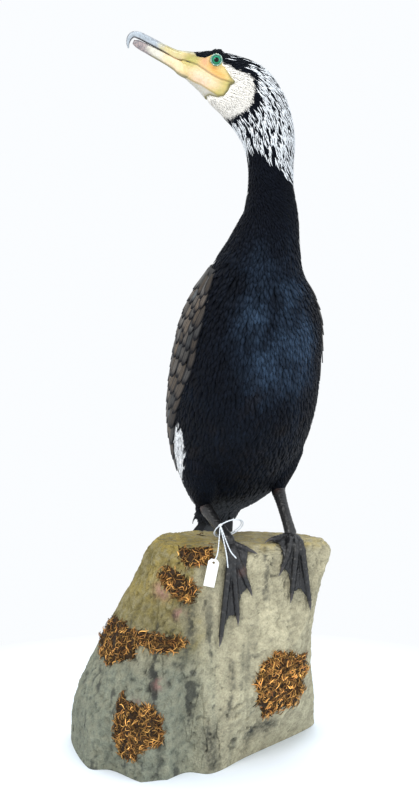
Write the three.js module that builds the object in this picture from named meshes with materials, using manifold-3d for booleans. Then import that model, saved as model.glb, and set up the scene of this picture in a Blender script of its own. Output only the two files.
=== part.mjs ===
// A great cormorant in breeding plumage, mounted on a cast rock, its webbed feet draped over the rock's edge.
// Millimetres, +Z up. The viewer stands at -Y, the origin is on the rock's flat underside.
import * as THREE from "three";
import { mergeVertices } from "three/addons/utils/BufferGeometryUtils.js";
import Module from "manifold-3d";

const wasm = await Module();
wasm.setup();

// Driving dimensions
const GAP = 0.35;
const ROCK_TOP = 250;
const BIRD_HEADING = THREE.MathUtils.degToRad(22);
const EDGE_HEADING = THREE.MathUtils.degToRad(18);
const BIRD_AT = new THREE.Vector2(47.5, -22);
const EDGE_FORWARD = 17;
const EDGE_RADIUS = 12;
const FACE_TURN = THREE.MathUtils.degToRad(87);
const EYE_RADIUS = 6;
const TAIL_LENGTH = 150;

const v3 = (x, y, z) => new THREE.Vector3(x, y, z);
const mix = THREE.MathUtils.lerp;
const rad = THREE.MathUtils.degToRad;

// Materials
const finish = (color, roughness, metalness = 0) =>
  new THREE.MeshStandardMaterial({ color, roughness, metalness });
const MATERIAL = {
  plumage: finish(0x0b1220, 0.55),
  covert: finish(0x3c3a38, 0.5),
  bill: finish(0xb9b7a6, 0.4),
  mandible: finish(0xd9cf9a, 0.45),
  eye: finish(0x1c7a55, 0.05),
  leg: finish(0x17161a, 0.45),
  claw: finish(0x2a2526, 0.35),
  rock: finish(0xa7a085, 0.9),
  moss: finish(0x8a5a2a, 0.95),
  card: finish(0xf4f4f0, 0.8),
  string: finish(0xe9ecef, 0.85),
};

// A point in the bird's own directions: left, forward and up.
function fromBird(left, forward, up) {
  const c = Math.cos(BIRD_HEADING);
  const s = Math.sin(BIRD_HEADING);
  return v3(BIRD_AT.x + left * c + forward * s, BIRD_AT.y + left * s - forward * c, up);
}

// A point on the rock's rounded front edge: across it, along it from the top over the edge and down the face,
// and out from its surface.
function onEdge(across, along, out) {
  const arc = EDGE_RADIUS * FACE_TURN;
  const turn = Math.min(Math.max(along / EDGE_RADIUS, 0), FACE_TURN);
  const before = Math.min(along, 0);
  const after = Math.max(along - arc, 0);
  const reach = EDGE_RADIUS + out;
  const forward =
    EDGE_FORWARD - EDGE_RADIUS + before + reach * Math.sin(turn) + after * Math.cos(FACE_TURN);
  const up = ROCK_TOP - EDGE_RADIUS + reach * Math.cos(turn) - after * Math.sin(FACE_TURN);
  const c = Math.cos(EDGE_HEADING);
  const s = Math.sin(EDGE_HEADING);
  return v3(BIRD_AT.x + across * c + forward * s, BIRD_AT.y + across * s - forward * c, up);
}

// Catmull-Rom value of a list of numbers at a real-valued place t.
function along(values, t) {
  const last = values.length - 1;
  const i = Math.min(Math.max(Math.floor(t), 0), last - 1);
  const k = t - i;
  const p1 = values[i];
  const p2 = values[i + 1];
  const p0 = i > 0 ? values[i - 1] : 2 * p1 - p2;
  const p3 = i + 2 <= last ? values[i + 2] : 2 * p2 - p1;
  const a = 2 * p1;
  const b = p2 - p0;
  const c = 2 * p0 - 5 * p1 + 4 * p2 - p3;
  const d = 3 * p1 - p0 - 3 * p2 + p3;
  return 0.5 * (a + k * (b + k * (c + k * d)));
}

// Solids and meshes
function solidOf(geometry) {
  const bare = geometry.clone();
  for (const name of Object.keys(bare.attributes)) if (name !== "position") bare.deleteAttribute(name);
  const merged = mergeVertices(bare, 1e-4);
  const mesh = new wasm.Mesh({
    numProp: 3,
    vertProperties: new Float32Array(merged.attributes.position.array),
    triVerts: new Uint32Array(merged.index.array),
  });
  const solid = new wasm.Manifold(mesh);
  if (solid.volume() > 0) return solid;
  const flipped = mesh.triVerts.slice();
  for (let i = 0; i < flipped.length; i += 3) {
    [flipped[i + 1], flipped[i + 2]] = [flipped[i + 2], flipped[i + 1]];
  }
  return new wasm.Manifold(
    new wasm.Mesh({ numProp: 3, vertProperties: mesh.vertProperties, triVerts: flipped }),
  );
}

const join = (solids) => solids.reduce((a, b) => a.add(b));

function largest(solid) {
  return solid.decompose().reduce((a, b) => (a.volume() > b.volume() ? a : b));
}

const root = new THREE.Group();

function addPart(name, solid, material) {
  const whole = largest(solid);
  const made = whole.getMesh();
  const geometry = new THREE.BufferGeometry();
  const positions = new Float32Array(made.numVert * 3);
  for (let i = 0; i < made.numVert; i++) {
    positions.set(made.vertProperties.subarray(i * made.numProp, i * made.numProp + 3), i * 3);
  }
  geometry.setAttribute("position", new THREE.BufferAttribute(positions, 3));
  geometry.setIndex(new THREE.BufferAttribute(made.triVerts, 1));
  geometry.computeVertexNormals();
  const mesh = new THREE.Mesh(geometry, material);
  mesh.name = name;
  root.add(mesh);
  return whole;
}

// A closed body through rings of points, each ring with the same count, closed at both ends by a fan.
function loft(rings) {
  const count = rings[0].length;
  const points = rings.flat();
  const index = [];
  for (let r = 0; r + 1 < rings.length; r++) {
    for (let j = 0; j < count; j++) {
      const a = r * count + j;
      const b = r * count + ((j + 1) % count);
      index.push(a, b, b + count, a, b + count, a + count);
    }
  }
  const cap = (ring, first, flip) => {
    const middle = ring.reduce((sum, p) => sum.add(p), v3(0, 0, 0)).divideScalar(count);
    points.push(middle);
    for (let j = 0; j < count; j++) {
      const a = first + j;
      const b = first + ((j + 1) % count);
      index.push(points.length - 1, flip ? b : a, flip ? a : b);
    }
  };
  cap(rings[0], 0, true);
  cap(rings.at(-1), (rings.length - 1) * count, false);
  const geometry = new THREE.BufferGeometry().setFromPoints(points);
  geometry.setIndex(index);
  return solidOf(geometry);
}

// A closed sheet: two grids of points, alike in their triangles, joined round their border.
function sheet(over, under) {
  const rows = over.length;
  const cols = over[0].length;
  const points = [...over.flat(), ...under.flat()];
  const half = rows * cols;
  const index = [];
  for (let r = 0; r + 1 < rows; r++) {
    for (let c = 0; c + 1 < cols; c++) {
      const a = r * cols + c;
      index.push(a, a + 1, a + cols + 1, a, a + cols + 1, a + cols);
      index.push(half + a, half + a + cols + 1, half + a + 1);
      index.push(half + a, half + a + cols, half + a + cols + 1);
    }
  }
  const border = [];
  for (let c = 0; c < cols - 1; c++) border.push(c);
  for (let r = 0; r < rows - 1; r++) border.push(r * cols + cols - 1);
  for (let c = cols - 1; c > 0; c--) border.push((rows - 1) * cols + c);
  for (let r = rows - 1; r > 0; r--) border.push(r * cols);
  border.forEach((a, i) => {
    const b = border[(i + 1) % border.length];
    index.push(b, a, half + a, b, half + a, half + b);
  });
  const geometry = new THREE.BufferGeometry().setFromPoints(points);
  geometry.setIndex(index);
  return solidOf(geometry);
}

// A round or flattened tube through points, its radius given at each of them.
function tube(points, radii, sides = 8, flat = 1, up = v3(0, 0, 1)) {
  const rings = points.map((p, i) => {
    const next = points[Math.min(i + 1, points.length - 1)];
    const dir = next.clone().sub(points[Math.max(i - 1, 0)]).normalize();
    const high = up.clone().addScaledVector(dir, -up.dot(dir)).normalize();
    const wide = high.clone().cross(dir);
    return Array.from({ length: sides }, (_, j) => {
      const a = (2 * Math.PI * j) / sides;
      return p
        .clone()
        .addScaledVector(wide, radii[i] * Math.cos(a))
        .addScaledVector(high, radii[i] * flat * Math.sin(a));
    });
  });
  return loft(rings);
}

// A closed ring of round section along a closed curve.
function ring(path, radius) {
  const steps = 16;
  const sides = 5;
  const frames = path.computeFrenetFrames(steps, true);
  const points = [];
  const index = [];
  for (let i = 0; i < steps; i++) {
    const at = path.getPointAt(i / steps);
    for (let j = 0; j < sides; j++) {
      const a = (2 * Math.PI * j) / sides;
      points.push(
        at
          .clone()
          .addScaledVector(frames.normals[i], radius * Math.cos(a))
          .addScaledVector(frames.binormals[i], radius * Math.sin(a)),
      );
      const next = (j + 1) % sides;
      const [p, q] = [i * sides, ((i + 1) % steps) * sides];
      index.push(p + j, q + j, q + next, p + j, q + next, p + next);
    }
  }
  const geometry = new THREE.BufferGeometry().setFromPoints(points);
  geometry.setIndex(index);
  return solidOf(geometry);
}

const curvePoints = (points, steps) => new THREE.CatmullRomCurve3(points).getPoints(steps);

// The flesh: one spine from behind the tail root to the bill's base. Each station holds its place, the
// direction of the back, and the half-width, depth to the back and depth to the belly.
const BACKWARD = fromBird(0, -1, 0).sub(fromBird(0, 0, 0));
const CROWNWARD = (right, up) => v3(right, 0, up);
const trunk = (left, forward, up, side, dorsal, ventral) => ({
  at: fromBird(left, forward, up),
  back: BACKWARD.clone(),
  side,
  dorsal,
  ventral,
});
const neck = (x, y, z, back, side, dorsal, ventral) => ({ at: v3(x, y, z), back, side, dorsal, ventral });
const SPINE = [
  trunk(0, -150, 224, 24, 9, 6),
  trunk(0, -120, 250, 26, 13, 10),
  trunk(0, -92, 276, 28, 19, 12),
  trunk(0, -74, 290, 44, 32, 16),
  trunk(0, -54, 320, 64, 46, 35),
  trunk(0, -40, 362, 77, 55, 60),
  trunk(0, -27, 407, 82, 58, 75),
  trunk(0, -13, 451, 81, 58, 73),
  trunk(0, 0, 495, 76, 56, 66),
  trunk(0, 8, 525, 65, 51, 55),
  trunk(1, 14, 552, 51, 43, 45),
  trunk(5, 19, 578, 40, 35, 37),
  neck(65, -40, 606, v3(-0.1, 1, 0), 31, 29, 30),
  neck(65.6, -41, 627, v3(0.35, 0.9, 0), 26.5, 26, 26.5),
  neck(65.3, -41, 643, v3(0.7, 0.65, 0), 24, 24, 24),
  neck(65.2, -42, 662, v3(0.95, 0.3, 0.08), 23, 24, 24),
  neck(64.2, -43, 686, CROWNWARD(0.85, 0.53), 22.5, 26, 27),
  neck(59.5, -43, 705, CROWNWARD(0.7, 0.72), 22, 29, 30),
  neck(50.5, -43, 724, CROWNWARD(0.57, 0.82), 22, 31.5, 33),
  neck(37, -43, 740, CROWNWARD(0.48, 0.87), 22, 33, 34),
  neck(19.6, -43, 751, CROWNWARD(0.4, 0.91), 20.5, 30, 30.5),
  neck(1, -43.5, 761, CROWNWARD(0.32, 0.94), 17.5, 24, 24),
  neck(-14.9, -44.5, 766.5, CROWNWARD(0.25, 0.96), 13, 17, 18),
  neck(-27.6, -46, 770.4, CROWNWARD(0.1, 1), 9, 12.2, 12.6),
];
const STATION = { tailRoot: 2, neckBase: 10.6, neckMiddle: 14, nape: 17.5, eye: 21, billBase: 23 };
const SPINE_SIDES = 24;

const spineValue = (read, t) => along(SPINE.map(read), t);
const spineVector = (key, t) =>
  v3(
    spineValue((s) => s[key].x, t),
    spineValue((s) => s[key].y, t),
    spineValue((s) => s[key].z, t),
  );

// The directions at a place on the spine: towards the head, the back and the bird's left.
function spineFrame(t) {
  const step = 0.02;
  const near = Math.min(Math.max(t, step), SPINE.length - 1 - step);
  const dir = spineVector("at", near + step).sub(spineVector("at", near - step)).normalize();
  const raw = spineVector("back", t);
  const back = raw.addScaledVector(dir, -raw.dot(dir)).normalize();
  return { at: spineVector("at", t), dir, back, left: back.clone().cross(dir) };
}

// A point on the flesh at place t and angle from the back (positive to the left), raised by out.
function onFlesh(t, angle, out = 0) {
  const f = spineFrame(t);
  const c = Math.cos(angle);
  const s = Math.sin(angle);
  const depth = spineValue((q) => (c > 0 ? q.dorsal : q.ventral), t) + out;
  const side = spineValue((q) => q.side, t) + out;
  return f.at.addScaledVector(f.back, depth * c).addScaledVector(f.left, side * s);
}

function fleshBody(from, to, steps, out = 0) {
  const rings = Array.from({ length: steps + 1 }, (_, i) => {
    const t = mix(from, to, i / steps);
    return Array.from({ length: SPINE_SIDES }, (_, j) => onFlesh(t, (2 * Math.PI * j) / SPINE_SIDES, out));
  });
  return loft(rings);
}

// How far t moves for a gap of GAP between two lengths of the body.
const gapAt = (t) => GAP / spineVector("at", t + 0.5).distanceTo(spineVector("at", t - 0.5));

const torso = fleshBody(STATION.tailRoot, STATION.neckBase, 18);
const torsoGrown = fleshBody(STATION.tailRoot - gapAt(STATION.tailRoot), STATION.neckBase, 18, GAP);
const neckLower = fleshBody(STATION.neckBase + gapAt(STATION.neckBase), STATION.neckMiddle, 7);
const neckUpper = fleshBody(STATION.neckMiddle + gapAt(STATION.neckMiddle), STATION.nape, 6);

// Head, eyes and bill
const HEAD_FRAME = spineFrame(STATION.eye);
const EYE_UP = 14;
const EYE_BACK = 0;
const EYE_OUT = 9.8;

function eyeCentre(side) {
  return HEAD_FRAME.at
    .clone()
    .addScaledVector(HEAD_FRAME.back, EYE_UP)
    .addScaledVector(HEAD_FRAME.dir, -EYE_BACK)
    .addScaledVector(HEAD_FRAME.left, side * EYE_OUT);
}

function placed(geometry, at, facing) {
  const turn = new THREE.Quaternion().setFromUnitVectors(v3(0, 0, 1), facing);
  return solidOf(geometry.applyQuaternion(turn).translate(at.x, at.y, at.z));
}

function eyeBall(side, radius) {
  return placed(new THREE.SphereGeometry(radius, 12, 8), eyeCentre(side), HEAD_FRAME.left);
}

function eyeLid(side) {
  const out = HEAD_FRAME.left.clone().multiplyScalar(side);
  const at = eyeCentre(side).addScaledVector(out, 3.2);
  return placed(new THREE.TorusGeometry(5.9, 1.25, 5, 12), at, out);
}

// The point on one side of the head that is seen at x and z from beside it, raised by out.
function onHeadSide(side, x, z, out) {
  let t = STATION.eye;
  for (let i = 0; i < 6; i++) {
    const f = spineFrame(t);
    const near = spineVector("at", t + 0.1).distanceTo(spineVector("at", t - 0.1)) / 0.2;
    t += v3(x, f.at.y, z).sub(f.at).dot(f.dir) / near;
  }
  const f = spineFrame(t);
  const rise = v3(x, f.at.y, z).sub(f.at).dot(f.back);
  const depth = spineValue((q) => (rise > 0 ? q.dorsal : q.ventral), t);
  return onFlesh(t, side * Math.acos(Math.min(Math.max(rise / depth, -1), 1)), out);
}

// The line of the mouth runs on from the bill under the eye to the fleshy corner of the gape.
const MOUTH_LINE = [
  [-35, 776],
  [-24.8, 773],
  [-13, 768.6],
  [-3.6, 762.2],
  [4, 757],
  [12, 753.2],
  [23, 749.9],
];
const MOUTH_GROOVE = 0.9;

function mouthGroove(side) {
  const points = MOUTH_LINE.map(([x, z]) => onHeadSide(side, x, z, 0.1));
  return tube(points, [1, 1, 1, 1, 1, 1, 1.3].map((k) => k * MOUTH_GROOVE), 6);
}

const headBlank = fleshBody(STATION.nape + gapAt(STATION.nape), STATION.billBase, 10);
const headGrown = fleshBody(STATION.nape, STATION.billBase + gapAt(STATION.billBase - 0.6), 10, GAP);
const head = [-1, 1].reduce(
  (made, side) =>
    made.add(eyeLid(side)).subtract(eyeBall(side, EYE_RADIUS + GAP)).subtract(mouthGroove(side)),
  headBlank,
);

// The bill's pieces lie in an upright plane that turns a little towards the viewer at the tip.
const BILL_FROM = v3(-28, -46, 0);
const BILL_TURN = 0.17;
const onBill = (x, z, across) => v3(x, BILL_FROM.y + (x - BILL_FROM.x) * BILL_TURN - across, z);

// A bill piece: stations of forward place x, height z, half-height, half-width and lean of the section, which
// is round on its free side (free is 1 above, -1 below) and nearly flat where the two pieces meet.
function billPiece(stations, free, grow = 0) {
  const sides = 14;
  const rings = stations.map(([x, z, high, wide, lean]) =>
    Array.from({ length: sides }, (_, j) => {
      const a = (2 * Math.PI * j) / sides;
      const rise = Math.sin(a) * free;
      const up = free * (high + grow) * (rise > 0 ? rise : -Math.pow(-rise, 0.3));
      return onBill(x + up * Math.sin(lean), z + up * Math.cos(lean), (wide + grow) * Math.cos(a));
    }),
  );
  return loft(rings).subtract(headGrown);
}
const MAXILLA = [
  [-20, 777.6, 5.4, 8.6, 0.1],
  [-31, 778.9, 5.1, 7.6, 0.2],
  [-38.9, 781.6, 4.6, 6.6, 0.35],
  [-51, 787.7, 4, 5.4, 0.45],
  [-63.8, 794.2, 4.1, 4.7, 0.42],
  [-74, 799, 3.9, 4.4, 0.2],
  [-80.4, 799.6, 3.4, 3.8, -0.5],
  [-84.2, 795.8, 2.7, 2.9, -1.15],
  [-85.6, 790.6, 1.7, 1.9, -1.5],
  [-85.2, 785.6, 0.6, 0.8, -1.7],
];
const MANDIBLE = [
  [-22, 762.6, 9, 8.6, 0.1],
  [-30, 765.4, 7.8, 8, 0.25],
  [-38, 770.4, 5.9, 7, 0.42],
  [-52, 778, 5.2, 5.6, 0.48],
  [-66, 785.2, 4.7, 4.7, 0.45],
  [-75, 789.9, 4.1, 4, 0.42],
  [-80, 792.2, 2.2, 2.6, 0.4],
];

// The closed nostrils of a grown bird: a shallow slit along each side of the upper bill.
const NASAL_LINE = [[-36, 782.6, 6.9], [-44, 786.4, 6.2], [-53, 790.6, 5.3], [-62, 795.3, 4.8]];

function nasalSlit(side) {
  const points = NASAL_LINE.map(([x, z, across]) => onBill(x, z, side * across));
  return tube(points, [0.5, 0.8, 0.7, 0.4], 5);
}

const maxilla = billPiece(MAXILLA, 1).subtract(nasalSlit(1)).subtract(nasalSlit(-1));
const mandible = billPiece(MANDIBLE, -1).subtract(billPiece(MAXILLA, 1, GAP));

// Wings: a thin curved core over the flank, and the feathers in tiers on it.
const wingUpper = (t) => rad(along([9, 9, 9, 10, 12, 14, 16, 19, 24, 32, 46, 60], t));
const wingLower = (t) => rad(along([34, 44, 58, 76, 88, 104, 118, 126, 124, 114, 100, 90], t));

function wingPoint(side, t, share, out) {
  return onFlesh(t, side * mix(wingUpper(t), wingLower(t), share), out);
}

const WING_T = { tip: 1.2, shoulder: 9.9 };
const CORE_RAISE = { rim: 2, middle: 5.5 };
const CORE_SUNK = 1.6;

// How far the core stands out from the flesh, least round its rim.
function coreRaise(t, share) {
  const edge = Math.sin(Math.PI * mix(0.1, 0.9, Math.min(Math.max(share, 0), 1)));
  const k = Math.min(Math.max((t - WING_T.tip) / (WING_T.shoulder - WING_T.tip), 0), 1);
  return mix(CORE_RAISE.rim, CORE_RAISE.middle, edge * Math.sqrt(Math.sin(Math.PI * mix(0.12, 0.88, k))));
}

function wingCore(side) {
  const rows = 11;
  const cols = 6;
  const grid = (out) =>
    Array.from({ length: rows }, (_, r) =>
      Array.from({ length: cols }, (_, c) => {
        const t = mix(WING_T.tip, WING_T.shoulder, r / (rows - 1));
        return wingPoint(side, t, c / (cols - 1), out(t, c / (cols - 1)));
      }),
    );
  return sheet(grid(coreRaise), grid(() => -CORE_SUNK));
}

// One feather laid on the wing: it starts at t and share and runs backwards, turned by heading towards the
// belly edge. Its root lies in the core and its tip stands clear, over the root of the feather behind.
const VANE_RINGS = [
  { run: 0, width: 0.5, lift: -1 },
  { run: 0.4, width: 0.95, lift: 0.3 },
  { run: 0.8, width: 0.9, lift: 1.2 },
  { run: 1, width: 0.25, lift: 1.4 },
];
const VANE_THICK = 0.9;
const VANE_ROLL = 0.5;
const MARCH = 6;

function wingVane(side, t0, share0, length, wide, heading) {
  let t = t0;
  let share = share0;
  let run = 0;
  const over = [];
  const under = [];
  const c = Math.cos(heading);
  const s = Math.sin(heading);
  const scales = () => {
    const low = coreRaise(t, share);
    const stepT = wingPoint(side, t + 0.1, share, low).distanceTo(wingPoint(side, t - 0.1, share, low)) / 0.2;
    const stepShare =
      wingPoint(side, t, share + 0.05, low).distanceTo(wingPoint(side, t, share - 0.05, low)) / 0.1;
    return [stepT, stepShare];
  };
  for (const ringAt of VANE_RINGS) {
    while (run < ringAt.run * length - 1e-6) {
      const step = Math.min(MARCH, ringAt.run * length - run);
      const [perT, perShare] = scales();
      t -= (step * c) / perT;
      share += (step * s) / perShare;
      run += step;
    }
    const [perT, perShare] = scales();
    const edge = (sign, raise) => {
      const w = (sign * wide * ringAt.width) / 2;
      const [te, se] = [t + (w * s) / perT, share + (w * c) / perShare];
      return wingPoint(side, te, se, coreRaise(te, se) + ringAt.lift - sign * VANE_ROLL + raise);
    };
    over.push([edge(-1, VANE_THICK), edge(1, VANE_THICK)]);
    under.push([edge(-1, 0), edge(1, 0)]);
  }
  return sheet(over, under);
}

// Tiers of the wing from the shoulder back. Each is how many feathers, the place t of their roots at the back
// edge and at the belly edge, the shares they spread over, their length and width, and their turn.
const WING_TIERS = [
  { count: 4, t: [9.6, 9.5], share: [0.12, 0.88], length: 34, wide: 19, turn: [0.1, 0] },
  { count: 5, t: [8.9, 8.7], share: [0.09, 0.91], length: 38, wide: 20, turn: [0.1, 0] },
  { count: 5, t: [8.1, 7.8], share: [0.1, 0.92], length: 43, wide: 22, turn: [0.08, -0.04] },
  { count: 5, t: [7.2, 6.8], share: [0.08, 0.92], length: 52, wide: 23, turn: [0.06, -0.06] },
  { count: 5, t: [6.2, 5.6], share: [0.1, 0.9], length: 64, wide: 23, turn: [0.05, -0.08] },
  { count: 4, t: [5, 4.3], share: [0.14, 0.84], length: 88, wide: 23, turn: [0.03, -0.1] },
  { count: 3, t: [3.6, 3], share: [0.25, 0.78], length: 84, wide: 17, turn: [0, -0.06] },
];

function wing(side) {
  const vanes = WING_TIERS.flatMap(({ count, t, share, length, wide, turn }) =>
    Array.from({ length: count }, (_, i) => {
      const k = i / (count - 1);
      const vary = 1 + 0.05 * Math.sin(i * 2.1 + length);
      return wingVane(side, mix(...t, k), mix(...share, k), length * vary, wide, mix(...turn, k));
    }),
  );
  return join([wingCore(side), ...vanes]);
}

// Tail: one closed wedge out to its tips, from the root backwards and down.
const TAIL_FRAME = spineFrame(STATION.tailRoot);
const TAIL_DIP = rad(6);
const TAIL_ROOT = TAIL_FRAME.at.clone().addScaledVector(TAIL_FRAME.dir, -GAP * 1.3);
const TAIL_DIR = TAIL_FRAME.dir
  .clone()
  .multiplyScalar(-Math.cos(TAIL_DIP))
  .addScaledVector(TAIL_FRAME.back, -Math.sin(TAIL_DIP));
const TAIL_UP = TAIL_DIR.clone().cross(TAIL_FRAME.left).normalize();
if (TAIL_UP.z < 0) TAIL_UP.negate();

function onTail(length, across, up) {
  return TAIL_ROOT.clone()
    .addScaledVector(TAIL_DIR, length)
    .addScaledVector(TAIL_FRAME.left, across)
    .addScaledVector(TAIL_UP, up);
}

const TAIL_STEM = [
  [0, 22, 9],
  [20, 23, 7.5],
  [44, 20, 4.5],
  [62, 10, 1.6],
];
const RECTRIX = { pairs: 7, start: 14, outer: 104, wide: 17, fan: rad(11.5), step: 1.25, thick: 0.8 };
const RECTRIX_WIDTHS = [
  [0, 0.5],
  [0.5, 1],
  [0.88, 0.8],
  [1, 0.28],
];

function tailStem() {
  const sides = 12;
  return loft(
    TAIL_STEM.map(([length, wide, high]) =>
      Array.from({ length: sides }, (_, j) => {
        const a = (2 * Math.PI * j) / sides;
        return onTail(length, wide * Math.cos(a), high * Math.sin(a));
      }),
    ),
  );
}

// One tail feather. The middle pair is longest and lies on top, each next pair is shorter and lower.
function rectrix(pair, side) {
  const k = (pair + 0.5) / RECTRIX.pairs;
  const length = mix(TAIL_LENGTH, RECTRIX.outer, Math.pow(k, 1.6)) - RECTRIX.start;
  const turn = side * RECTRIX.fan * k;
  const up = (RECTRIX.pairs / 2 - pair - 0.5 + (side > 0 ? 0.25 : -0.25)) * RECTRIX.step;
  const row = (raise) =>
    RECTRIX_WIDTHS.map(([run, width]) =>
      [-1, 1].map((edge) => {
        const w = (edge * RECTRIX.wide * width) / 2;
        const across = side * 14 * k + length * run * Math.sin(turn) + w * Math.cos(turn);
        return onTail(RECTRIX.start + length * run * Math.cos(turn) - w * Math.sin(turn), across, up + raise);
      }),
    );
  return sheet(row(RECTRIX.thick), row(0));
}

function tail() {
  const feathers = Array.from({ length: RECTRIX.pairs }, (_, pair) => [rectrix(pair, 1), rectrix(pair, -1)]);
  return join([tailStem(), ...feathers.flat()]);
}

// Legs
const HEEL = { right: fromBird(-40, -46, 288), left: fromBird(48, -40, 303) };
const JOINT = { right: { across: -31.4, along: 3 }, left: { across: 47.7, along: -13 } };
const THIGH_TOP = { right: fromBird(-44, -34, 352), left: fromBird(46, -32, 366) };

const THIGH_RADII = [30, 27, 20, 12.5, 8.5];

function thigh(name, grow = 0) {
  const top = THIGH_TOP[name];
  const heel = HEEL[name];
  const more = grow / top.distanceTo(heel);
  const points = [-more, 0.35, 0.65, 0.88, 1 + more].map((k) => top.clone().lerp(heel, k));
  return tube(points, THIGH_RADII.map((r) => r + grow), 12, 1, BACKWARD);
}

function shank(name) {
  const { across, along: place } = JOINT[name];
  const foot = onEdge(across, place, 8);
  const heel = HEEL[name];
  const points = [0, 0.12, 0.45, 0.8, 1].map((k) => heel.clone().lerp(foot, k));
  return tube(points, [6.4, 6.6, 5.6, 5.6, 6], 10, 1.15, BACKWARD)
    .subtract(palm(name, GAP))
    .subtract(thigh(name, GAP))
    .subtract(torsoGrown);
}

// Feet: four toes and the webs between them, laid over the rock's edge. Each toe is how far its tip lies
// inwards and onwards from the joint, claw included.
const TOES = {
  right: { inward: 1, reach: [[31, 13], [24, 59], [7, 90], [-15, 112]] },
  left: { inward: -1, reach: [[36, 16], [24, 55], [10.7, 86], [-13, 96]] },
};
const CLAW_LENGTH = 11;
const PALM_RADIUS = 7;
const TOE_RADIUS = 4.2;
const TOE_TIP_RADIUS = 2.7;
const SOLE_OUT = 0.8;
const WEB = { out: 1.9, half: 0.7, start: 0.4, reach: 0.96, step: 1.5, drawn: 0.5, lap: 1 };
const EDGE_STOPS = 4;

// How far a toe's flesh reaches inwards and onwards, its claw left off.
function toeReach(name, toe) {
  const [inwards, onwards] = TOES[name].reach[toe];
  const share = 1 - CLAW_LENGTH / Math.hypot(inwards, onwards);
  return [inwards * share, onwards * share];
}

function toePoint(name, toe, share, out) {
  const { across, along: place } = JOINT[name];
  const [inwards, onwards] = toeReach(name, toe);
  return onEdge(across + TOES[name].inward * inwards * share, place + onwards * share, out);
}

// Places along the rock's bent edge where what lies over it is given points.
const edgeBends = () =>
  Array.from({ length: EDGE_STOPS }, (_, i) => (EDGE_RADIUS * FACE_TURN * i) / (EDGE_STOPS - 1));

// Shares of a toe's length where it is given points.
function toeStops(name, toe) {
  const bends = edgeBends()
    .map((place) => (place - JOINT[name].along) / toeReach(name, toe)[1])
    .filter((k) => k > 0.03 && k < 0.95);
  const after = bends.length ? bends.at(-1) : 0;
  return [0, ...bends, mix(after, 1, 0.5), 1];
}

function toeTube(name, toe) {
  const stops = toeStops(name, toe);
  const radii = stops.map((k) => mix(TOE_RADIUS, TOE_TIP_RADIUS, k));
  const points = stops.map((k, i) => toePoint(name, toe, k, radii[i] * 0.9 + SOLE_OUT));
  return tube(points, radii, 6, 0.9, onEdgeNormal(name));
}

function onEdgeNormal(name) {
  const { across, along: place } = JOINT[name];
  const middle = place + 30;
  return onEdge(across, middle, 1).sub(onEdge(across, middle, 0)).add(v3(0, 0, 0.6)).normalize();
}

// The web between a toe and the next: rows across it, level with the rock's edge, from near the joint to the
// longer toe's tip. Beyond the shorter toe's tip its free margin is drawn in.
function web(name, toe) {
  const { across, along: place } = JOINT[name];
  const [i1, o1] = toeReach(name, toe).map((reach) => reach * WEB.reach);
  const [i2, o2] = toeReach(name, toe + 1).map((reach) => reach * WEB.reach);
  const bends = edgeBends().map((bend) => bend - place);
  const stops = [o1 * WEB.start, ...bends, o1, mix(o1, o2, 0.5), o2]
    .filter((onwards) => onwards >= o1 * WEB.start && onwards <= o2)
    .sort((a, b) => a - b)
    .filter((onwards, i, all) => i === 0 || onwards - all[i - 1] > WEB.step);
  const shorter = (onwards) => {
    if (onwards <= o1) return (i1 * onwards) / o1;
    const k = (onwards - o1) / (o2 - o1);
    return mix(mix(i1, i2, k), (i2 * onwards) / o2, WEB.drawn * Math.sin(Math.PI * k));
  };
  const grid = (out) =>
    stops.map((onwards) =>
      [shorter(onwards), (i2 * onwards) / o2 - WEB.lap].map((inwards) =>
        onEdge(across + TOES[name].inward * inwards, place + onwards, out),
      ),
    );
  return sheet(grid(WEB.out + WEB.half), grid(WEB.out - WEB.half));
}

function palm(name, grow = 0) {
  const { across, along: place } = JOINT[name];
  const at = onEdge(across, place, PALM_RADIUS + SOLE_OUT);
  return placed(new THREE.SphereGeometry(PALM_RADIUS + grow, 8, 6), at, v3(0, 0, 1));
}

function foot(name) {
  const toes = [0, 1, 2, 3].map((toe) => toeTube(name, toe));
  const webs = [0, 1, 2].map((toe) => web(name, toe));
  return join([palm(name), ...toes, ...webs]);
}

function claw(name, toe) {
  const tipAt = (share, out) => toePoint(name, toe, share, out);
  const [inwards, onwards] = TOES[name].reach[toe];
  const full = Math.hypot(inwards, onwards);
  const unit = 1 / (full - CLAW_LENGTH);
  const lengths = [GAP + 0.4, CLAW_LENGTH * 0.35, CLAW_LENGTH * 0.7, CLAW_LENGTH];
  const outs = [2.8, 3.4, 2.6, 0.9];
  const points = lengths.map((d, i) => tipAt(1 + d * unit, outs[i] + GAP));
  return tube(points, [2.1, 1.8, 1.2, 0.35], 6, 1.1, onEdgeNormal(name));
}

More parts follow.
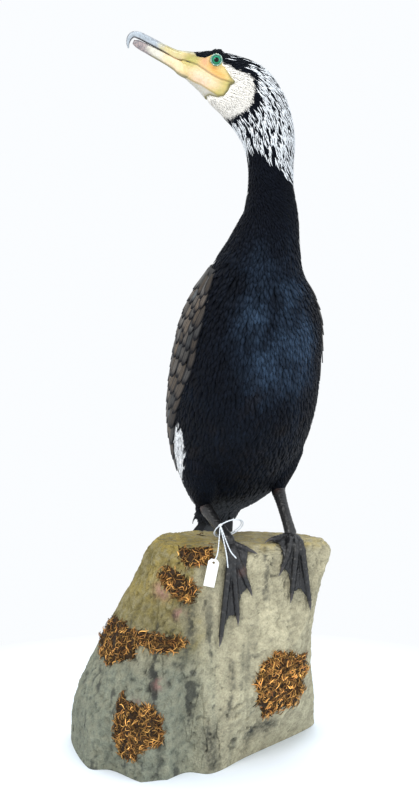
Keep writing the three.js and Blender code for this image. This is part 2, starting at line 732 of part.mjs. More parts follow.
// Rock: outlines at heights, each of twelve corners from the left side round the front to the back.
const ROCK_LEVELS = [
  [
    0,
    ...[[-163, 75], [-137, -40], [-108, -53], [-64, -97], [-26, -60], [4, -62]],
    ...[[43, -5], [121, 104], [112, 135], [50, 150], [-50, 150], [-130, 130]],
  ],
  [
    60,
    ...[[-156, 60], [-138, -25], [-105, -58], [-62, -96], [-24, -62], [8, -64]],
    ...[[60, -25], [118, 55], [112, 105], [50, 130], [-50, 130], [-122, 110]],
  ],
  [
    130,
    ...[[-124, 35], [-108, -20], [-85, -50], [-52, -82], [-18, -66], [15, -72]],
    ...[[70, -50], [112, 0], [108, 70], [50, 100], [-40, 105], [-95, 85]],
  ],
  [
    200,
    ...[[-88, 15], [-78, -22], [-60, -45], [-38, -66], [-8, -74], [30, -72]],
    ...[[85, -56], [122, -15], [118, 40], [60, 72], [-30, 75], [-72, 60]],
  ],
  [
    236,
    ...[[-72, 8], [-64, -22], [-50, -40], [-28, -58], [-4, -70], [38, -68]],
    ...[[96, -52], [133, -15], [126, 30], [62, 56], [-20, 58], [-58, 44]],
  ],
  [
    253,
    ...[[-56, 4], [-50, -18], [-40, -32], [-20, -50], [0, -64], [40, -62]],
    ...[[94, -46], [124, -14], [116, 22], [58, 44], [-16, 46], [-46, 32]],
  ],
];
const ROCK_SIDES = 36;
const ROCK_RINGS = 13;

function rockOutline(level, place) {
  const corners = ROCK_LEVELS[level].slice(1);
  const count = corners.length;
  const i = Math.floor(place);
  const near = [-1, 0, 1, 2].map((d) => corners[(i + d + count) % count]);
  return [0, 1].map((axis) => along(near.map((p) => p[axis]), 1 + place - i));
}

function rockPoint(height, place) {
  const level = along(ROCK_LEVELS.map((_, i) => i), height);
  const base = ROCK_LEVELS.map((row) => row[0]);
  const x = along(ROCK_LEVELS.map((_, i) => rockOutline(i, place)[0]), level);
  const y = along(ROCK_LEVELS.map((_, i) => rockOutline(i, place)[1]), level);
  return v3(x, y, along(base, level));
}

// The rock, or the space that it fills when its surface is raised by grow.
function rock(grow = 0) {
  const corners = ROCK_LEVELS[0].length - 1;
  const rings = Array.from({ length: ROCK_RINGS + 1 }, (_, r) => {
    const height = ((ROCK_LEVELS.length - 1) * r) / ROCK_RINGS;
    return Array.from({ length: ROCK_SIDES }, (_, j) => {
      const p = rockPoint(height, (corners * j) / ROCK_SIDES);
      const inside = r > 0 && r < ROCK_RINGS ? 1 : 0;
      const dent = 2.2 * Math.sin(j * 1.9 + r * 0.6) + 1.4 * Math.sin(j * 0.8 - r * 1.7);
      const inward = v3(-p.x, -p.y, 0).normalize();
      return p.addScaledVector(inward, inside * Math.max(dent, -0.5) - grow);
    });
  });
  return loft(rings).intersect(edgeProfile(grow));
}

// The solid behind the rock's rounded front edge, as a long bar with that profile.
function edgeProfile(grow = 0) {
  const reach = 400;
  const depth = 500;
  const steps = 8;
  const profile = [];
  const arc = EDGE_RADIUS * FACE_TURN;
  for (let i = 0; i <= steps; i++) profile.push((arc * i) / steps);
  profile.push(arc + 300);
  const ring = (across) => {
    const front = profile.map((s) => onEdge(across, s, grow));
    const behind = onEdge(across, -60, grow);
    const lowBack = onEdge(across, -depth, 0).setZ(-60);
    const highBack = onEdge(across, -depth, 0).setZ(ROCK_TOP + 60);
    const rise = onEdge(across, -61, 0).setZ(ROCK_TOP + 60);
    return [behind, ...front, lowBack, highBack, rise];
  };
  return loft([ring(-reach), ring(reach)]);
}

// Moss: five patches glued to the front, each one blob or two, seen from the front as centre x and z,
// half-width, half-height and turn.
const MOSS_THICK = 3.5;
const MOSS = [
  [[-15, 246, 17, 13, 0]],
  [[-34, 211, 23, 12, -0.6]],
  [
    [-106, 137, 26, 20, 0.5],
    [-62, 149, 36, 9, 0],
  ],
  [
    [-90, 53, 15, 34, 0],
    [-68, 60, 16, 24, 0.35],
  ],
  [[81, 89, 29, 40, -0.06]],
];
const MOSS_DEPTH = { front: -200, back: 8 };

function mossColumn([x, z, wide, high, turn], seed) {
  const count = 14;
  const ring = (y) =>
    Array.from({ length: count }, (_, j) => {
      const a = (2 * Math.PI * j) / count;
      const square = 1 + 0.12 * Math.pow(Math.sin(2 * a), 2) + 0.07 * Math.sin(j * 2.3 + seed * 1.7);
      const u = wide * square * Math.cos(a);
      const w = high * square * Math.sin(a);
      const c = Math.cos(turn);
      const s = Math.sin(turn);
      return v3(x + u * c - w * s, y, z + u * s + w * c);
    });
  return loft([ring(MOSS_DEPTH.front), ring(MOSS_DEPTH.back)]);
}

const rockNear = rock(GAP);
const rockMossy = rock(GAP + MOSS_THICK);
const mossPatch = (blobs, seed) =>
  join(blobs.map((blob) => mossColumn(blob, seed)))
    .intersect(rockMossy)
    .subtract(rockNear);

// The tag: a blank card with an eyelet hole, on a string looped loosely round the right leg above the foot.
const CARD = { wide: 12, high: 31, thick: 0.5, hole: 1.5, lean: -0.2, at: v3(2.2, -63, 225.5) };
const STRING_RADIUS = 0.7;
const KNOT_RADIUS = 2;
const LOOP = { long: 18, short: 11, shift: 8.5, share: 0.74, knot: rad(125), points: 14 };
const STRAND_STEPS = 3;

function tagCard() {
  const shape = new THREE.Shape();
  shape.moveTo(-CARD.wide / 2, -CARD.high / 2);
  shape.lineTo(CARD.wide / 2, -CARD.high / 2);
  shape.lineTo(CARD.wide / 2, CARD.high / 2 - 3);
  shape.lineTo(CARD.wide / 2 - 3, CARD.high / 2);
  shape.lineTo(3 - CARD.wide / 2, CARD.high / 2);
  shape.lineTo(-CARD.wide / 2, CARD.high / 2 - 3);
  shape.holes.push(new THREE.Path().absarc(0, CARD.high / 2 - 4, CARD.hole, 0, 2 * Math.PI, true));
  const body = new THREE.ExtrudeGeometry(shape, { depth: CARD.thick, bevelEnabled: false, curveSegments: 6 });
  body.rotateX(Math.PI / 2).rotateY(-CARD.lean);
  return solidOf(body.translate(CARD.at.x, CARD.at.y, CARD.at.z));
}

function tagString() {
  const heel = HEEL.right;
  const ankle = onEdge(JOINT.right.across, JOINT.right.along, 8);
  const down = ankle.clone().sub(heel).normalize();
  const sideways = v3(1, 0, 0).addScaledVector(down, -down.x).normalize();
  const forward = down.clone().cross(sideways).normalize();
  if (forward.y > 0) forward.negate();
  const middle = heel.clone().lerp(ankle, LOOP.share).addScaledVector(sideways, LOOP.shift);
  const onLoop = (a, size, lift) =>
    middle
      .clone()
      .addScaledVector(sideways, LOOP.long * size * Math.cos(a))
      .addScaledVector(forward, LOOP.short * size * Math.sin(a))
      .addScaledVector(down, lift);
  const knot = onLoop(LOOP.knot, 1, 0);
  const turn = (size, lift) => {
    const around = Array.from({ length: LOOP.points - 1 }, (_, i) =>
      onLoop(LOOP.knot + (2 * Math.PI * (i + 1)) / LOOP.points, size, lift),
    );
    return ring(new THREE.CatmullRomCurve3([knot, ...around], true), STRING_RADIUS);
  };
  const strand = (points) =>
    tube(curvePoints([knot, ...points], STRAND_STEPS), new Array(STRAND_STEPS + 1).fill(STRING_RADIUS), 5);
  return join([
    turn(1, 0),
    turn(0.86, -1.6),
    placed(new THREE.SphereGeometry(KNOT_RADIUS, 6, 4), knot, v3(0, 0, 1)),
    strand([v3(22, -62, 251), v3(29, -63, 241.5)]),
    strand([v3(18, -62, 248), v3(20, -62.5, 231)]),
    strand([v3(9, -60, 248), v3(5.2, -61.6, 238.2)]),
  ]);
}

addPart("rock_base", rock(), MATERIAL.rock);
MOSS.forEach((blobs, i) => addPart(`moss_patch_${i + 1}`, mossPatch(blobs, i), MATERIAL.moss));
addPart("tag_card", tagCard(), MATERIAL.card);
addPart("tag_string", tagString(), MATERIAL.string);
addPart("torso", torso, MATERIAL.plumage);
addPart("neck_lower", neckLower, MATERIAL.plumage);
addPart("neck_upper", neckUpper, MATERIAL.plumage);
addPart("head", head, MATERIAL.plumage);
addPart("bill_upper", maxilla, MATERIAL.bill);
addPart("bill_lower", mandible, MATERIAL.mandible);
addPart("tail", tail().subtract(torsoGrown), MATERIAL.plumage);
for (const [side, name] of [
  [1, "left"],
  [-1, "right"],
]) {
  addPart(`eye_${name}`, eyeBall(side, EYE_RADIUS), MATERIAL.eye);
  addPart(`wing_${name}`, wing(side).subtract(torsoGrown).subtract(thigh(name, GAP)), MATERIAL.covert);
  addPart(`thigh_${name}`, thigh(name).subtract(torsoGrown), MATERIAL.plumage);
  addPart(`shank_${name}`, shank(name), MATERIAL.leg);
  addPart(`foot_${name}`, foot(name), MATERIAL.leg);
  for (let toe = 0; toe < 4; toe++) addPart(`claw_${name}_${toe + 1}`, claw(name, toe), MATERIAL.claw);
}

export default root;
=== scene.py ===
import math

import bpy
import numpy as np
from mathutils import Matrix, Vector, noise
from mathutils.bvhtree import BVHTree


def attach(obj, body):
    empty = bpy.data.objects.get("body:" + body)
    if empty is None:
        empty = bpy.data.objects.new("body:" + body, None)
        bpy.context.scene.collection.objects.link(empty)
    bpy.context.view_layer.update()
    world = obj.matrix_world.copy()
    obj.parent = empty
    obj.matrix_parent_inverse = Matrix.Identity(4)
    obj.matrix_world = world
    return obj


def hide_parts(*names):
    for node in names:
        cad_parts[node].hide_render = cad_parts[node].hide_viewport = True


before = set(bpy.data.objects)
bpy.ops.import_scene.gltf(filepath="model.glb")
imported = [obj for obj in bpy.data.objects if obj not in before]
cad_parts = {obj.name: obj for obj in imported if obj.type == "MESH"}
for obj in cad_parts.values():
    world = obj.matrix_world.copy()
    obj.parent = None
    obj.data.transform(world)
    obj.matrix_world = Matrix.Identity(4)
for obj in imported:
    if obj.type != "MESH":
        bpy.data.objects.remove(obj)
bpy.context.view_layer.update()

# A mounted great cormorant on a cast rock. Sizes are in millimetres, and MM turns them into metres.
MM = 0.001
ROCK_TOP = 250
BIRD_HEADING = math.radians(22)
EDGE_HEADING = math.radians(18)
BIRD_AT = (47.5, -22)
EDGE_FORWARD = 17
EDGE_RADIUS = 12
FACE_TURN = math.radians(87)
EYE_RADIUS = 6
TAIL_LENGTH = 150

rng = np.random.default_rng(7)


# Points and directions
def vec(*parts):
    return np.stack(np.broadcast_arrays(*[np.asarray(p, float) for p in parts]), axis=-1)


def unit(v):
    return v / np.maximum(np.linalg.norm(v, axis=-1, keepdims=True), 1e-9)


def mix(a, b, k):
    return a + (b - a) * k


def smooth(x, low, high):
    k = np.clip((x - low) / (high - low), 0, 1)
    return k * k * (3 - 2 * k)


def turns(count):
    """Angles of count points evenly spaced round a full turn."""
    return 2 * math.pi * np.arange(count) / count


def from_bird(left, forward, up):
    c, s = math.cos(BIRD_HEADING), math.sin(BIRD_HEADING)
    return vec(BIRD_AT[0] + left * c + forward * s, BIRD_AT[1] + left * s - forward * c, up)


def to_bird(p):
    c, s = math.cos(BIRD_HEADING), math.sin(BIRD_HEADING)
    x, y = p[..., 0] - BIRD_AT[0], p[..., 1] - BIRD_AT[1]
    return x * c + y * s, x * s - y * c, p[..., 2]


def on_edge(across, place, out):
    """A point on the rock's rounded front edge: across it, along it from the top down the face, and out."""
    across, place, out = [np.asarray(q, float) for q in (across, place, out)]
    arc = EDGE_RADIUS * FACE_TURN
    turn = np.clip(place / EDGE_RADIUS, 0, FACE_TURN)
    before = np.minimum(place, 0)
    after = np.maximum(place - arc, 0)
    reach = EDGE_RADIUS + out
    forward = EDGE_FORWARD - EDGE_RADIUS + before + reach * np.sin(turn) + after * math.cos(FACE_TURN)
    up = ROCK_TOP - EDGE_RADIUS + reach * np.cos(turn) - after * math.sin(FACE_TURN)
    c, s = math.cos(EDGE_HEADING), math.sin(EDGE_HEADING)
    return vec(BIRD_AT[0] + across * c + forward * s, BIRD_AT[1] + across * s - forward * c, up)


def along(values, t):
    """Catmull-Rom value of a list of numbers or points at real-valued places t."""
    values = np.asarray(values, float)
    t = np.asarray(t, float)
    ends = [2 * values[0] - values[1]], [2 * values[-1] - values[-2]]
    padded = np.concatenate([ends[0], values, ends[1]])
    i = np.clip(np.floor(t).astype(int), 0, len(values) - 2)
    k = t - i
    if values.ndim == 2:
        k = k[..., None]
    p0, p1, p2, p3 = (padded[i + d] for d in range(4))
    square = 2 * p0 - 5 * p1 + 4 * p2 - p3
    cube = 3 * p1 - p0 - 3 * p2 + p3
    return 0.5 * (2 * p1 + k * (p2 - p0 + k * (square + k * cube)))


def wobble(points, scale, seed, octaves):
    """Fractal noise of about -1 to 1 at points, whose features are about scale across."""
    shift = Vector((seed * 13.7, seed * 7.1, seed * 3.3))
    flat = points.reshape(-1, 3) / scale
    made = [noise.fractal(Vector(p) + shift, 1.0, 2.0, octaves) for p in flat]
    return np.array(made).reshape(points.shape[:-1])


# Meshes
def make_mesh(name, points, quads, tris, material, slot, colour=None, uvs=None, nodes=()):
    """A piece from points in millimetres, riding on the one body, with colour and UV maps given by vertex."""
    quads = np.asarray(quads, int).reshape(-1, 4)
    tris = np.asarray(tris, int).reshape(-1, 3)
    corners = np.concatenate([quads.ravel(), tris.ravel()])
    starts = np.concatenate([np.arange(len(quads)) * 4, len(quads) * 4 + np.arange(len(tris)) * 3])
    mesh = bpy.data.meshes.new(name)
    mesh.vertices.add(len(points))
    mesh.vertices.foreach_set("co", (np.asarray(points) * MM).astype(np.float32).ravel())
    mesh.loops.add(len(corners))
    mesh.loops.foreach_set("vertex_index", corners.astype(np.int32))
    mesh.polygons.add(len(starts))
    mesh.polygons.foreach_set("loop_start", starts.astype(np.int32))
    mesh.polygons.foreach_set("use_smooth", np.ones(len(starts), bool))
    mesh.update(calc_edges=True)
    for label, uv in (uvs or {}).items():
        layer = mesh.uv_layers.new(name=label)
        layer.data.foreach_set("uv", np.asarray(uv)[corners].astype(np.float32).ravel())
    if colour is not None:
        paint(mesh, colour)
    return finish_piece(bpy.data.objects.new(name, mesh), material, slot, nodes)


def paint(mesh, colour):
    rgba = np.ones((len(colour), 4), np.float32)
    rgba[:, :3] = colour
    layer = mesh.color_attributes.new("Tint", "FLOAT_COLOR", "POINT")
    layer.data.foreach_set("color", rgba.ravel())


def finish_piece(piece, material, slot, nodes):
    bpy.context.scene.collection.objects.link(piece)
    piece.data.materials.append(material)
    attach(piece, "root")
    if nodes:
        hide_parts(*nodes)
    return piece


def grid_faces(rows, cols, wrap):
    """Quads of a grid of points, joined round on itself where wrap is set."""
    r = np.arange(rows - 1)[:, None]
    c = np.arange(cols if wrap else cols - 1)[None, :]
    n = (c + 1) % cols
    corners = np.broadcast_arrays(r * cols + c, r * cols + n, (r + 1) * cols + n, (r + 1) * cols + c)
    return np.stack(corners, -1).reshape(-1, 4)


def closed_loft(rings):
    """Points, quads and triangles of a closed body through rings of points."""
    rows, cols = rings.shape[:2]
    points = np.concatenate([rings.reshape(-1, 3), rings[:1].mean(1), rings[-1:].mean(1)])
    c = np.arange(cols)
    n = (c + 1) % cols
    first, last = rows * cols, rows * cols + 1
    low = np.stack([n, c, np.full(cols, first)], -1)
    high = np.stack([(rows - 1) * cols + c, (rows - 1) * cols + n, np.full(cols, last)], -1)
    return points, grid_faces(rows, cols, True), np.concatenate([low, high])


def capped(tones):
    """Colours of a loft's points, and of the two points that close its ends."""
    tones = tones.reshape(-1, 3)
    return np.concatenate([tones, tones[:1], tones[-1:]])


def merge(parts):
    """Several (points, quads, tris) as one."""
    points, quads, tris, first = [], [], [], 0
    for p, q, t in parts:
        points.append(p)
        quads.append(np.asarray(q, int).reshape(-1, 4) + first)
        tris.append(np.asarray(t, int).reshape(-1, 3) + first)
        first += len(p)
    return np.concatenate(points), np.concatenate(quads), np.concatenate(tris)


def tube(points, radii, sides=8, flat=1.0, up=(0, 0, 1)):
    points = np.asarray(points, float)
    radii = np.broadcast_to(np.asarray(radii, float), len(points))
    ahead = np.concatenate([points[1:], points[-1:]])
    behind = np.concatenate([points[:1], points[:-1]])
    run = unit(ahead - behind)
    high = np.broadcast_to(np.asarray(up, float), points.shape)
    high = unit(high - run * (high * run).sum(-1, keepdims=True))
    wide = np.cross(high, run)
    a = turns(sides)
    ring = wide[:, None] * np.cos(a)[None, :, None] + flat * high[:, None] * np.sin(a)[None, :, None]
    return closed_loft(points[:, None] + radii[:, None, None] * ring)


def smooth_path(points, steps):
    points = np.asarray(points, float)
    return along(points, np.linspace(0, len(points) - 1, steps))


def fuse(name, shapes, voxel, rounds, material, slot, nodes, colour, shape=None):
    """One organic body from closed shapes, by a voxel remesh that is smoothed and then formed by shape."""
    points, quads, tris = merge(shapes)
    piece = make_mesh(name, points, quads, tris, material, slot, nodes=nodes)
    remesh = piece.modifiers.new("fuse", "REMESH")
    remesh.mode = "VOXEL"
    remesh.voxel_size = voxel * MM
    soften = piece.modifiers.new("soften", "SMOOTH")
    soften.factor = 0.5
    soften.iterations = rounds
    graph = bpy.context.evaluated_depsgraph_get()
    made = bpy.data.meshes.new_from_object(piece.evaluated_get(graph))
    piece.modifiers.clear()
    old = piece.data
    piece.data = made
    bpy.data.meshes.remove(old)
    made.name = name
    at = np.empty(len(made.vertices) * 3, np.float32)
    made.vertices.foreach_get("co", at)
    at = at.reshape(-1, 3) / MM
    if shape is not None:
        normals = np.empty(len(at) * 3, np.float32)
        made.vertices.foreach_get("normal", normals)
        at = at + normals.reshape(-1, 3) * shape(at)[:, None]
        made.vertices.foreach_set("co", (at * MM).astype(np.float32).ravel())
    made.polygons.foreach_set("use_smooth", np.ones(len(made.polygons), bool))
    paint(made, colour(at))
    made.update()
    return piece


# The flesh: stations along one spine, from behind the tail root to the bill's base
BACKWARD = from_bird(0, -1, 0) - from_bird(0, 0, 0)
TRUNK = [
    (0, -150, 224, 24, 9, 6), (0, -120, 250, 26, 13, 10), (0, -92, 276, 28, 19, 12),
    (0, -74, 290, 44, 32, 16), (0, -54, 320, 64, 46, 35), (0, -40, 362, 77, 55, 60),
    (0, -27, 407, 82, 58, 75), (0, -13, 451, 81, 58, 73), (0, 0, 495, 76, 56, 66),
    (0, 8, 525, 65, 51, 55), (1, 14, 552, 51, 43, 45), (5, 19, 578, 40, 35, 37),
]
NECK = [
    (65, -40, 606, (-0.1, 1, 0), 31, 29, 30),
    (65.6, -41, 627, (0.35, 0.9, 0), 26.5, 26, 26.5),
    (65.3, -41, 643, (0.7, 0.65, 0), 24, 24, 24),
    (65.2, -42, 662, (0.95, 0.3, 0.08), 23, 24, 24),
    (64.2, -43, 686, (0.85, 0, 0.53), 22.5, 26, 27),
    (59.5, -43, 705, (0.7, 0, 0.72), 22, 29, 30),
    (50.5, -43, 724, (0.57, 0, 0.82), 22, 31.5, 33),
    (37, -43, 740, (0.48, 0, 0.87), 22, 33, 34),
    (19.6, -43, 751, (0.4, 0, 0.91), 20.5, 30, 30.5),
    (1, -43.5, 761, (0.32, 0, 0.94), 17.5, 24, 24),
    (-14.9, -44.5, 766.5, (0.25, 0, 0.96), 13, 17, 18),
    (-27.6, -46, 770.4, (0.1, 0, 1), 9, 12.2, 12.6),
]
SPINE_AT = np.array([from_bird(*row[:3]) for row in TRUNK] + [row[:3] for row in NECK])
SPINE_BACK = np.array([BACKWARD] * len(TRUNK) + [row[3] for row in NECK])
SPINE_SIZE = np.array([row[3:] for row in TRUNK] + [row[4:] for row in NECK], float)
STATION = {"tail": 2, "breast": 7.2, "neck": 10.6, "nape": 17.5, "eye": 21, "bill": 23}


def spine_frame(t):
    step = 0.02
    near = np.clip(t, step, len(SPINE_AT) - 1 - step)
    run = unit(along(SPINE_AT, near + step) - along(SPINE_AT, near - step))
    raw = along(SPINE_BACK, t)
    back = unit(raw - run * (raw * run).sum(-1, keepdims=True))
    return along(SPINE_AT, t), run, back, np.cross(back, run)


def on_flesh(t, angle, out=0.0):
    """A point on the flesh at place t and angle from the back (positive to the left), raised by out."""
    t, angle, out = np.broadcast_arrays(*[np.asarray(q, float) for q in (t, angle, out)])
    at, _, back, left = spine_frame(t)
    side, dorsal, ventral = np.moveaxis(along(SPINE_SIZE, t), -1, 0)
    c, s = np.cos(angle), np.sin(angle)
    depth = np.where(c > 0, dorsal, ventral) + out
    return at + back * (depth * c)[..., None] + left * ((side + out) * s)[..., None]


def flesh_rings(first, last, rows, cols, out):
    t = np.linspace(first, last, rows)[:, None]
    a = turns(cols)[None, :]
    return on_flesh(t, a, out(t, a) if callable(out) else out)


HEAD_AT, HEAD_RUN, HEAD_BACK, HEAD_LEFT = spine_frame(np.float64(STATION["eye"]))
EYE_UP, EYE_BACK, EYE_OUT = 14, 0, 9.8


def eye_centre(side):
    return HEAD_AT + HEAD_BACK * EYE_UP - HEAD_RUN * EYE_BACK + HEAD_LEFT * side * EYE_OUT


EYE_XZ = eye_centre(1)[[0, 2]]
SOCKET_REACH = 6.6


def socket_move(p):
    """How far the head's surface moves out or in round an eye, so that the lid lies on it."""
    side = np.where((p - HEAD_AT) @ HEAD_LEFT > 0, 1.0, -1.0)
    away = p - eye_centre(side[..., None])
    outwards = (away @ HEAD_LEFT) * side
    aside = np.sqrt(np.maximum((away ** 2).sum(-1) - outwards ** 2, 0))
    beyond = np.maximum(aside - SOCKET_REACH, 0)
    moved = np.clip(outwards, 0.9 - 1.6 * beyond, 2.4 + 1.2 * beyond) - outwards
    return np.where(outwards > -7, moved, 0)


def on_head(t, angle, out=0.0):
    return on_flesh(t, angle, out + socket_move(on_flesh(t, angle)))


# Markings, as functions of a place on the bird
def from_line(x, z, line):
    """Distance from the nearest place of a line of (x, z) points."""
    nearest = np.full(np.shape(x), np.inf)
    for (x1, z1), (x2, z2) in zip(line[:-1], line[1:]):
        dx, dz = x2 - x1, z2 - z1
        k = np.clip(((x - x1) * dx + (z - z1) * dz) / (dx * dx + dz * dz), 0, 1)
        nearest = np.minimum(nearest, np.hypot(x - x1 - k * dx, z - z1 - k * dz))
    return nearest


def inside(x, z, outline):
    """Signed distance into an outline of (x, z) points, positive inside."""
    odd = np.zeros(np.shape(x), bool)
    closed = outline + outline[:1]
    for (x1, z1), (x2, z2) in zip(closed[:-1], closed[1:]):
        if z1 != z2:
            odd ^= ((z1 > z) != (z2 > z)) & (x < x1 + (z - z1) * (x2 - x1) / (z2 - z1))
    nearest = from_line(x, z, closed)
    return np.where(odd, nearest, -nearest)


BARE_FACE = [
    (-60, 812), (-24, 782), (-13, 777.5), (-5, 776), (1, 778.3), (7, 779.9), (11, 778.3), (13.3, 774.5),
    (14.5, 768.5), (17, 764.5), (20, 760),
    (23, 755), (26.3, 751.6), (25.6, 749), (22, 747.8), (20, 742), (15, 736), (8, 734.5), (0, 737), (-4, 735),
    (-2, 729), (-12, 727), (-60, 750),
]
WHITE_FACE = [
    (10, 775), (14, 770.5), (21, 766.5), (32, 761.5), (38, 760), (42, 757), (44, 750), (44, 742), (42.5, 733),
    (37, 725.5), (29, 720.5), (18, 717), (2, 716), (-14, 728), (-12, 745), (4, 750),
]
# The white oval on each thigh, and the height of the blue shine on the chest.
THIGH_PATCH = {"up": 364, "forward": -35, "lean": 0.42, "wide": 18, "high": 33, "out": 46}
CHEST_UP, CHEST_HIGH = 500, 62
SKIN_OUT = {"body": -2.6, "neck": -1.8, "head": -1.0}

BLACK = np.array((0.003, 0.0042, 0.008))
SHEEN_BLUE = np.array((0.026, 0.046, 0.08))
WARM_BLACK = np.array((0.012, 0.009, 0.008))
FACE_WHITE = np.array((0.93, 0.9, 0.84))
THIGH_WHITE = np.array((0.86, 0.87, 0.88))
PLUME_WHITE = np.array((0.9, 0.94, 0.98))


def white_face(p):
    """1 where the white patch of cheek and throat is."""
    depth = inside(p[..., 0], p[..., 2], WHITE_FACE) + 0.9 * np.sin(p[..., 0] * 1.9) * np.sin(p[..., 2] * 1.3)
    return smooth(np.where(p[..., 2] > 690, depth, -9), -1.2, 1.2)


def bare_face(p):
    return inside(p[..., 0], p[..., 2], BARE_FACE)


def thigh_white(p):
    left, forward, up = to_bird(p)
    above = up - THIGH_PATCH["up"]
    ahead = forward - THIGH_PATCH["forward"] - above * THIGH_PATCH["lean"]
    reach = np.hypot(ahead / THIGH_PATCH["wide"], above / THIGH_PATCH["high"])
    return smooth(1 - reach, -0.06, 0.06) * (np.abs(left) > THIGH_PATCH["out"])


def plumage(p):
    """The colour of the plumage, and of the skin below it, at points of the bird."""
    blotch = wobble(p, 34, 1, 3)
    left, forward, up = to_bird(p)
    chest = np.exp(-((up - CHEST_UP) / CHEST_HIGH) ** 2) * smooth(forward, 20, 60)
    chest = chest * smooth(65 - np.abs(left - 8), 0, 45)
    shine = np.clip(chest * (0.75 + 1.1 * blotch) + 0.1 * np.clip(blotch, 0, 1), 0, 1)
    colour = BLACK + (SHEEN_BLUE - BLACK) * shine[..., None]
    warm = np.clip(wobble(p, 22, 2, 2) - 0.15, 0, 1) * smooth(520 - up, 0, 160)
    colour = mix(colour, WARM_BLACK, warm[..., None])
    colour = mix(colour, THIGH_WHITE, thigh_white(p)[..., None])
    return mix(colour, FACE_WHITE, white_face(p)[..., None])


# Materials
def material(name, **values):
    made = bpy.data.materials.new(name)
    made.use_nodes = True
    shader = made.node_tree.nodes["Principled BSDF"]
    for label, value in values.items():
        shader.inputs[label.replace("_", " ")].default_value = value
    return made, made.node_tree, shader


def node(tree, kind, inputs=None, **settings):
    made = tree.nodes.new(kind)
    for label, value in settings.items():
        setattr(made, label, value)
    for label, value in (inputs or {}).items():
        socket = made.inputs[label]
        if isinstance(value, bpy.types.NodeSocket):
            tree.links.new(value, socket)
        else:
            socket.default_value = value
    return made


def math_node(tree, operation, a, b=0.0):
    return node(tree, "ShaderNodeMath", {0: a, 1: b}, operation=operation).outputs[0]


def scaled(tree, value, times, plus):
    return math_node(tree, "ADD", math_node(tree, "MULTIPLY", value, times), plus)


def ramp(tree, value, low, high):
    spread = node(tree, "ShaderNodeMapRange", {"Value": value, "From Min": low, "From Max": high})
    return spread.outputs["Result"]


def place_node(tree):
    return node(tree, "ShaderNodeTexCoord").outputs["Object"]


def noise_node(tree, scale, detail):
    inputs = {"Vector": place_node(tree), "Scale": scale, "Detail": detail}
    return node(tree, "ShaderNodeTexNoise", inputs).outputs["Fac"]


def cell_node(tree, scale):
    inputs = {"Vector": place_node(tree), "Scale": scale}
    return node(tree, "ShaderNodeTexVoronoi", inputs).outputs["Distance"]


def tint(tree):
    made = node(tree, "ShaderNodeAttribute", attribute_name="Tint", attribute_type="GEOMETRY")
    return made.outputs["Color"]


def tinted(name, **values):
    """A material whose colour is the Tint of its piece."""
    made, tree, shader = material(name, **values)
    tree.links.new(tint(tree), shader.inputs["Base Color"])
    return made, tree, shader


def blend_colour(tree, kind, factor, a, b):
    made = node(tree, "ShaderNodeMix", data_type="RGBA", blend_type=kind)
    for socket, value in zip((made.inputs[0], made.inputs[6], made.inputs[7]), (factor, a, b)):
        if isinstance(value, bpy.types.NodeSocket):
            tree.links.new(value, socket)
        else:
            socket.default_value = value
    return made.outputs[2]


def speckled(tree, shader, speckle, share, least):
    """Gives a material the Tint of its piece, lighter and darker by a fine speckle."""
    light = scaled(tree, speckle, share, least)
    tree.links.new(blend_colour(tree, "MULTIPLY", 1.0, tint(tree), light), shader.inputs["Base Color"])


def bump(tree, shader, height, strength, distance):
    made = node(tree, "ShaderNodeBump", {"Height": height, "Strength": strength, "Distance": distance})
    tree.links.new(made.outputs["Normal"], shader.inputs["Normal"])


RIM_DARK = (0.004, 0.005, 0.008, 1)
BARBS_ALONG, BARBS_ACROSS = 26.0, 20.0


def feather_material(name, edge, shaft, roughness, streak=0.3, specular=0.35, tint_colour=(0.8, 0.88, 1, 1)):
    """Plumage from the vertex colour: a dark rim and shaft across the vane, and fine slanted barbs."""
    made, tree, shader = material(
        name, Roughness=roughness, Specular_IOR_Level=specular, Specular_Tint=tint_colour)
    uv = node(tree, "ShaderNodeUVMap", uv_map="Vane").outputs["UV"]
    parts = node(tree, "ShaderNodeSeparateXYZ", {"Vector": uv})
    across = math_node(tree, "ABSOLUTE", math_node(tree, "SUBTRACT", parts.outputs["X"], 0.5))
    onwards = parts.outputs["Y"]
    rim = ramp(tree, across, 0.5 - edge, 0.5 - edge * 0.35)
    tip = ramp(tree, onwards, 1 - edge * 0.9, 1 - edge * 0.3)
    dark = math_node(tree, "MAXIMUM", rim, tip)
    shaft_line = ramp(tree, across, shaft, shaft * 0.3)
    dark = math_node(tree, "MAXIMUM", dark, math_node(tree, "MULTIPLY", shaft_line, 0.8 if shaft else 0.0))
    lengthways = math_node(tree, "MULTIPLY", onwards, BARBS_ALONG)
    slant = math_node(tree, "SUBTRACT", lengthways, math_node(tree, "MULTIPLY", across, BARBS_ACROSS))
    barbs = math_node(tree, "SINE", math_node(tree, "MULTIPLY", slant, 6.28))
    grain = noise_node(tree, 420, 3)
    lightness = scaled(tree, grain, streak * 2, 1 - streak)
    streaked = blend_colour(tree, "MULTIPLY", 1.0, tint(tree), lightness)
    coloured = blend_colour(tree, "MIX", dark if edge else 0.0, streaked, RIM_DARK)
    tree.links.new(coloured, shader.inputs["Base Color"])
    height = scaled(tree, barbs, 0.3, grain)
    bump(tree, shader, height, 0.25, 0.0006)
    return made


PLUMAGE = feather_material("plumage_black", 0.0, 0.0, 0.6, specular=0.1)
WHITE_PLUMAGE = feather_material("plumage_white", 0.0, 0.0, 0.75, streak=0.1, tint_colour=(1, 1, 1, 1))
COVERT = feather_material("covert_bronze", 0.33, 0.03, 0.5, streak=0.35, specular=0.18,
                          tint_colour=(1, 0.95, 0.9, 1))
QUILL = feather_material("quill_black", 0.06, 0.03, 0.5, streak=0.2, specular=0.12)


